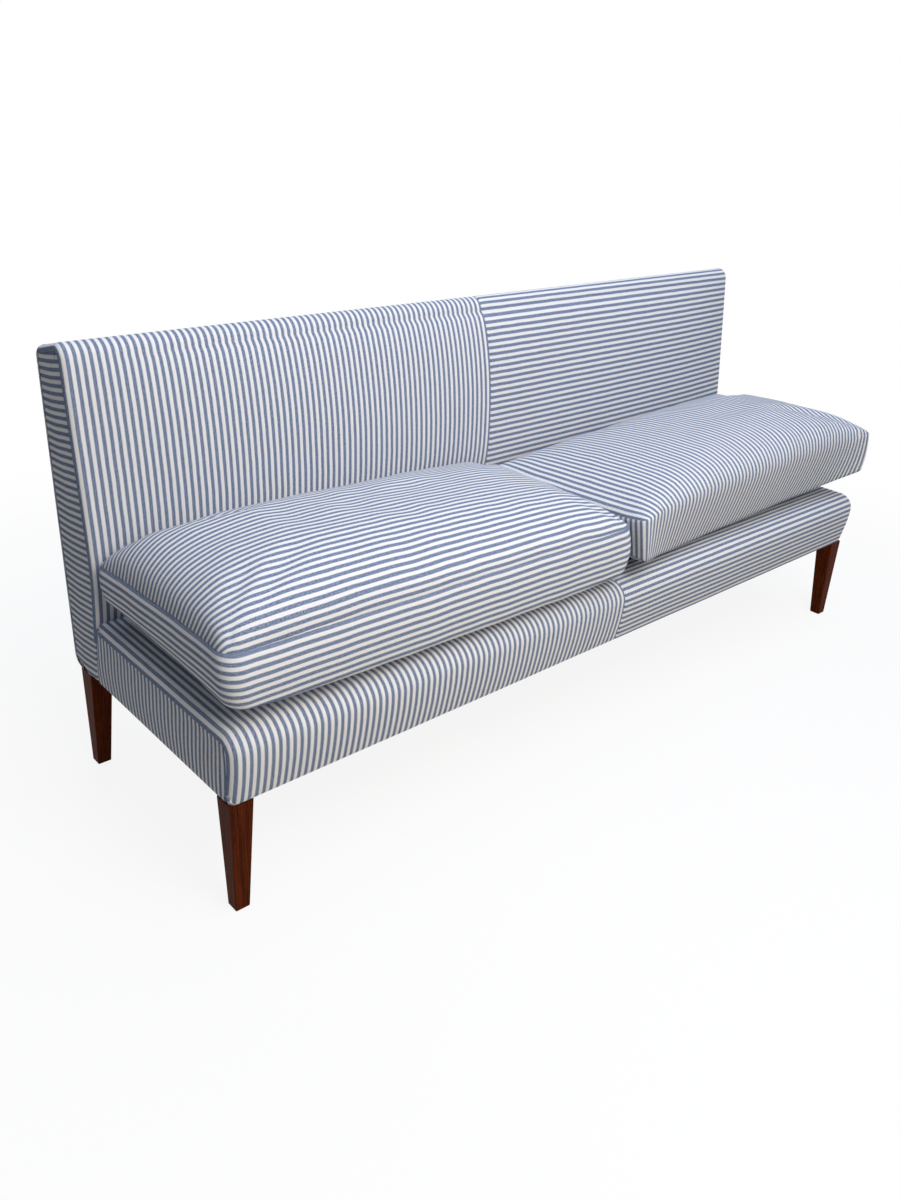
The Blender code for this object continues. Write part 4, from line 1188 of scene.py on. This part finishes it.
# The slider's plate narrows to a waist, and its bridge narrows upward. The pull widens to a round end.
PLATE = Vector((0.011, 0.0018, 0.0094))
PLATE_BEVEL = 0.0005
WAIST = 0.62
BRIDGE = Vector((0.0078, 0.0013, 0.0022))
BRIDGE_TOP = 0.0050
PULL_START = 0.0085
PULL_WIDTH = 0.0048
PULL_WIDENING = 0.0026
PULL_ROUND = 0.14
PULL_THICKNESS = 0.0008
# Heights of the middles of the plate and the bridge, and of the pull, over the tape.
PLATE_HEIGHT = 0.0013
BRIDGE_HEIGHT = 0.0027
PULL_HEIGHT = 0.0022
SHEET_THICKNESS = 0.0006
SHEET_SAG = 0.006
SHEET_DIP = 0.0007
TACK_PITCH = 0.06


class BANQUETTE_OT_zips(Operator):
    """Makes the zips in the rear boxing of the cushions: tape, teeth and slider"""
    bl_idname = "banquette.zips"
    bl_label = "Zips"

    def execute(self, context):
        for hand, _ in HANDS:
            self.tape(hand)
            self.slider(hand)
        return {"FINISHED"}

    def tape(self, hand):
        """A folded tape along the zip with two rows of teeth that mesh along its middle."""
        low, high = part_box(f"zip_tape_{hand}")
        long = high.x - low.x
        wide = high.z - low.z
        middle = (low.z + high.z) / 2
        front = high.y - 0.0010
        shape = bmesh.new()
        bmesh.ops.create_grid(shape, x_segments=62, y_segments=8, size=0.5)
        for vert in shape.verts:
            along, across, _ = vert.co
            # The tape sinks under the teeth and where it is sewn to the boxing.
            sunk = 0.0009 * math.exp(-(across * wide / 0.0022) ** 2) + 0.0012 * (2 * abs(across)) ** 6
            vert.co = (low.x + (along + 0.5) * long, front - sunk, middle + across * wide)
        bmesh.ops.reverse_faces(shape, faces=shape.faces)
        bmesh.ops.solidify(shape, geom=shape.faces, thickness=TAPE_THICKNESS)
        woven = set(shape.faces)
        count = int((long - 2 * TOOTHLESS_END) / TOOTH_PITCH)
        start = (low.x + high.x) / 2 - TOOTH_PITCH * (count - 1) / 2
        for index in range(count):
            up = TOOTH_OFFSET if index % 2 else -TOOTH_OFFSET
            spot = Matrix.Translation((start + index * TOOTH_PITCH, front + 0.0001, middle + up))
            bmesh.ops.create_cube(shape, size=1.0, matrix=spot @ Matrix.Diagonal((*TOOTH, 1.0)))
        for face in shape.faces:
            face.material_index = 0 if face in woven else 1
        piece = add_piece("toothed", f"zip_tape_{hand}", shape, f"cushion_{hand}")
        piece.data.materials.append(bpy.data.materials["nickel_plated_zinc"])
        for polygon in piece.data.polygons:
            polygon.use_smooth = polygon.material_index == 0

    def slider(self, hand):
        """A slider: a waisted plate over the teeth, a bridge on top and a pull that lies along the tape."""
        low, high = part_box(f"zip_slider_{hand}")
        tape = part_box(f"zip_tape_{hand}")[1].y
        middle = (low.z + high.z) / 2
        centre = low.x + PLATE.x / 2
        pull_start = low.x + PULL_START
        shape = bmesh.new()
        for vert in bmesh.ops.create_cube(shape, size=1.0)["verts"]:
            x, y, z = vert.co
            wide = PLATE.z * WAIST if x > 0 else PLATE.z
            vert.co = (centre + x * PLATE.x, tape + PLATE_HEIGHT + y * PLATE.y, middle + z * wide)
        bmesh.ops.bevel(shape, geom=list(shape.edges), offset=PLATE_BEVEL, segments=2, profile=0.5,
                        affect="EDGES", material=-1)
        for vert in bmesh.ops.create_cube(shape, size=1.0)["verts"]:
            x, y, z = vert.co
            long = BRIDGE.x if y < 0 else BRIDGE_TOP
            vert.co = (centre + x * long, tape + BRIDGE_HEIGHT + y * BRIDGE.y, middle + z * BRIDGE.z)
        pull = bmesh.ops.create_grid(shape, x_segments=8, y_segments=4, size=0.5)["verts"]
        for vert in pull:
            along = vert.co.x + 0.5
            past = max((along - 1 + PULL_ROUND) / PULL_ROUND, 0.0)
            wide = (PULL_WIDTH + PULL_WIDENING * along) * math.sqrt(max(1 - past ** 2, 0.05))
            x = pull_start + along * (high.x - pull_start)
            vert.co = (x, tape + PULL_HEIGHT, middle + vert.co.y * wide)
        faces = {face for vert in pull for face in vert.link_faces}
        grown = bmesh.ops.extrude_face_region(shape, geom=list(faces))
        shift_grown(shape, grown, (0.0, PULL_THICKNESS, 0.0))
        bmesh.ops.recalc_face_normals(shape, faces=shape.faces)
        piece = add_piece("cast", f"zip_slider_{hand}", shape, f"zip_pull_{hand}")
        for polygon in piece.data.polygons:
            polygon.use_smooth = False


class BANQUETTE_OT_underside(Operator):
    """Tacks the dust sheet under the seat"""
    bl_idname = "banquette.underside"
    bl_label = "Underside"

    def execute(self, context):
        low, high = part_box("dust_sheet")
        wide = high.x - low.x
        deep = high.y - low.y
        room = 0.003
        plates = [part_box(f"leg_plate_{end}_{hand}") for end in ("front", "rear") for hand, _ in HANDS]

        def at_plate(face):
            """Whether a leg plate takes the place of this cloth."""
            x, y, _ = face.calc_center_median()
            return any(near.x - room < x < far.x + room and near.y - room < y < far.y + room
                       for near, far in plates)

        shape = bmesh.new()
        bmesh.ops.create_grid(shape, x_segments=150, y_segments=44, size=0.5)
        for vert in shape.verts:
            across, along, _ = vert.co
            x = low.x + (across + 0.5) * wide
            y = low.y + (along + 0.5) * deep
            slack = (1 - (2 * across) ** 4) * (1 - (2 * along) ** 4)
            sag = SHEET_SAG * slack * (0.75 + 0.5 * noise.noise(Vector((x * 4.0, y * 6.0, 0.0))))
            # Tacks hold the edge, and the cloth dips a little between them.
            edge = max(1 - (0.5 - max(abs(across), abs(along))) / 0.03, 0.0)
            dip = SHEET_DIP * edge * abs(math.sin(math.pi * (x + y) / TACK_PITCH))
            vert.co = (x, y, low.z + 0.0004 - max(sag + dip - 0.001, 0.0))
        bmesh.ops.delete(shape, geom=[face for face in shape.faces if at_plate(face)], context="FACES")
        bmesh.ops.reverse_faces(shape, faces=shape.faces)
        piece = add_piece("tacked", "dust_sheet", shape)
        thicken(piece, SHEET_THICKNESS)
        return {"FINISHED"}


# Finishes and stage


class BANQUETTE_OT_finishes(Operator):
    """Makes the materials and gives every solid its own finish"""
    bl_idname = "banquette.finishes"
    bl_label = "Finishes"

    def execute(self, context):
        cloth = context.scene.banquette_cloth
        stuffs = hidden_stuffs()
        fabric = ticking(cloth)
        stuffs["ticking_upright"] = fabric
        stuffs["ticking_lengthwise"] = fabric
        stuffs["stained_wood"] = stained_wood(cloth)
        for node_name, slot in SLOTS.items():
            mesh = frame["nodes"][node_name].data
            mesh.materials.clear()
            mesh.materials.append(stuffs[slot])
        return {"FINISHED"}


class BANQUETTE_OT_stage(Operator):
    """Lays the floor, hangs the lamps and sets the camera where the photograph was taken"""
    bl_idname = "banquette.stage"
    bl_label = "Stage"

    def execute(self, context):
        scene = context.scene
        stage = scene.banquette_stage
        self.camera(scene)
        self.floor(scene, stage)
        self.lamp(scene, "front_lamp", stage.key, "fff7ec", place=(-0.6, -1.9, 2.0), target=(-0.3, 0.0, 0.45),
                  size=1.4)
        self.lamp(scene, "top_lamp", stage.top, "d4e3ff", place=(0.2, -0.7, 3.0), target=(0.0, 0.0, 0.4),
                  size=3.0)
        self.lamp(scene, "rear_lamp", stage.rear, "ffffff", place=(0.4, 3.0, 1.8), target=(0.0, 0.3, 0.4),
                  size=2.0)
        world = bpy.data.worlds.new("white_room")
        world.use_nodes = True
        tree = world.node_tree
        light = tree.nodes["Background"]
        light.inputs[0].default_value = linear("e0e9fc")
        light.inputs[1].default_value = stage.fill
        plain = node(tree, "ShaderNodeBackground", {0: linear("ffffff"), 1: 1.0})
        mix = node(tree, "ShaderNodeMixShader",
                   {0: self.seen(tree), 1: light.outputs[0], 2: plain.outputs[0]})
        tree.links.new(mix.outputs[0], tree.nodes["World Output"].inputs[0])
        scene.world = world
        scene.view_settings.view_transform = "Standard"
        return {"FINISHED"}

    def seen(self, tree):
        """1 where a surface is seen straight, mirrored or through glass, and 0 where it only lights."""
        path = node(tree, "ShaderNodeLightPath").outputs
        first = node(tree, "ShaderNodeMath", {0: path["Is Camera Ray"], 1: path["Is Glossy Ray"]},
                     operation="MAXIMUM")
        return node(tree, "ShaderNodeMath", {0: first.outputs[0], 1: path["Is Transmission Ray"]},
                    operation="MAXIMUM").outputs[0]

    def camera(self, scene):
        """A pinhole at the photograph's place: turned 42.8 degrees, tipped 26.4 degrees down, rolled 3.1."""
        place = (-1.5138, -1.3956, 1.2001)
        yaw = 0.7472
        pitch = 0.4601
        roll = 0.0533
        # The focal length and the height of the photograph, in its pixels.
        focal = 1021.98
        picture_height = 1200
        ahead = Vector((math.sin(yaw) * math.cos(pitch), math.cos(yaw) * math.cos(pitch), -math.sin(pitch)))
        level = Vector((math.cos(yaw), -math.sin(yaw), 0.0))
        upright = level.cross(ahead)
        right = level * math.cos(roll) + upright * math.sin(roll)
        up = upright * math.cos(roll) - level * math.sin(roll)
        lens = bpy.data.cameras.new("camera")
        lens.sensor_fit = "VERTICAL"
        lens.sensor_height = 36.0
        lens.lens = lens.sensor_height * focal / picture_height
        camera = bpy.data.objects.new("camera", lens)
        turned = Matrix((right, up, -ahead)).transposed().to_4x4()
        turned.translation = place
        camera.matrix_world = turned
        scene.collection.objects.link(camera)
        scene.camera = camera

    def floor(self, scene, stage):
        """A wide pale disc that fades to white away from the bench and keeps its shadow."""
        fade_from = 1.0
        fade_to = 2.2
        white_share = 0.88
        shape = bmesh.new()
        bmesh.ops.create_circle(shape, cap_ends=True, segments=96, radius=40.0)
        mesh = bpy.data.meshes.new("floor")
        shape.to_mesh(mesh)
        shape.free()
        floor = bpy.data.objects.new("floor", mesh)
        scene.collection.objects.link(floor)
        made, tree, shader = finish("pale_painted_floor", Roughness=0.9, Specular_IOR_Level=0.1)
        seen = self.seen(tree)
        tone = node(tree, "ShaderNodeMix", {0: seen, 6: (*stage.bounce, 1.0), 7: (*stage.floor, 1.0)},
                    data_type="RGBA")
        tree.links.new(tone.outputs[2], shader.inputs["Base Color"])
        place = node(tree, "ShaderNodeTexCoord").outputs["Object"]
        far = node(tree, "ShaderNodeVectorMath", {0: place}, operation="LENGTH")
        fade = node(tree, "ShaderNodeMapRange",
                    {0: far.outputs["Value"], 1: fade_from, 2: fade_to, 3: white_share, 4: 1.0},
                    interpolation_type="SMOOTHSTEP")
        bright = node(tree, "ShaderNodeMath", {0: fade.outputs[0], 1: seen}, operation="MULTIPLY")
        white = node(tree, "ShaderNodeEmission", {0: linear("ffffff"), 1: 1.0})
        mix = node(tree, "ShaderNodeMixShader",
                   {0: bright.outputs[0], 1: shader.outputs[0], 2: white.outputs[0]})
        tree.links.new(mix.outputs[0], tree.nodes["Material Output"].inputs[0])
        mesh.materials.append(made)

    def lamp(self, scene, name, energy, code, place, target, size):
        """A round lamp at a place, aimed at a target."""
        light = bpy.data.lights.new(name, "AREA")
        light.shape = "DISK"
        light.size = size
        light.energy = energy
        light.color = linear(code)[:3]
        lamp = bpy.data.objects.new(name, light)
        way = Vector(target) - Vector(place)
        lamp.matrix_world = Matrix.Translation(place) @ way.to_track_quat("-Z", "Y").to_matrix().to_4x4()
        scene.collection.objects.link(lamp)


class VIEW3D_PT_banquette(Panel):
    """Lists the sizes and colours and the steps that make the banquette"""
    bl_label = "Banquette"
    bl_space_type = "VIEW_3D"
    bl_region_type = "UI"
    bl_category = "Banquette"

    def draw(self, context):
        for name in GROUPS:
            group = getattr(context.scene, name)
            box = self.layout.box()
            for key in group.__annotations__:
                box.prop(group, key)
        for step in STEPS:
            self.layout.operator(step.bl_idname)


GROUPS = {"banquette_cloth": BanquetteCloth, "banquette_shape": BanquetteShape,
          "banquette_stage": BanquetteStage}
STEPS = (BANQUETTE_OT_stage, BANQUETTE_OT_finishes, BANQUETTE_OT_back, BANQUETTE_OT_deck,
         BANQUETTE_OT_cushions, BANQUETTE_OT_zips, BANQUETTE_OT_underside)


def register():
    for kind in (*GROUPS.values(), *STEPS, VIEW3D_PT_banquette):
        bpy.utils.register_class(kind)
    for name, group in GROUPS.items():
        setattr(bpy.types.Scene, name, PointerProperty(type=group))


def unregister():
    for name in GROUPS:
        delattr(bpy.types.Scene, name)
    for kind in reversed((*GROUPS.values(), *STEPS, VIEW3D_PT_banquette)):
        bpy.utils.unregister_class(kind)


def main():
    register()
    for step in STEPS:
        group, name = step.bl_idname.split(".")
        getattr(getattr(bpy.ops, group), name)()


if __name__ == "__main__":
    main()
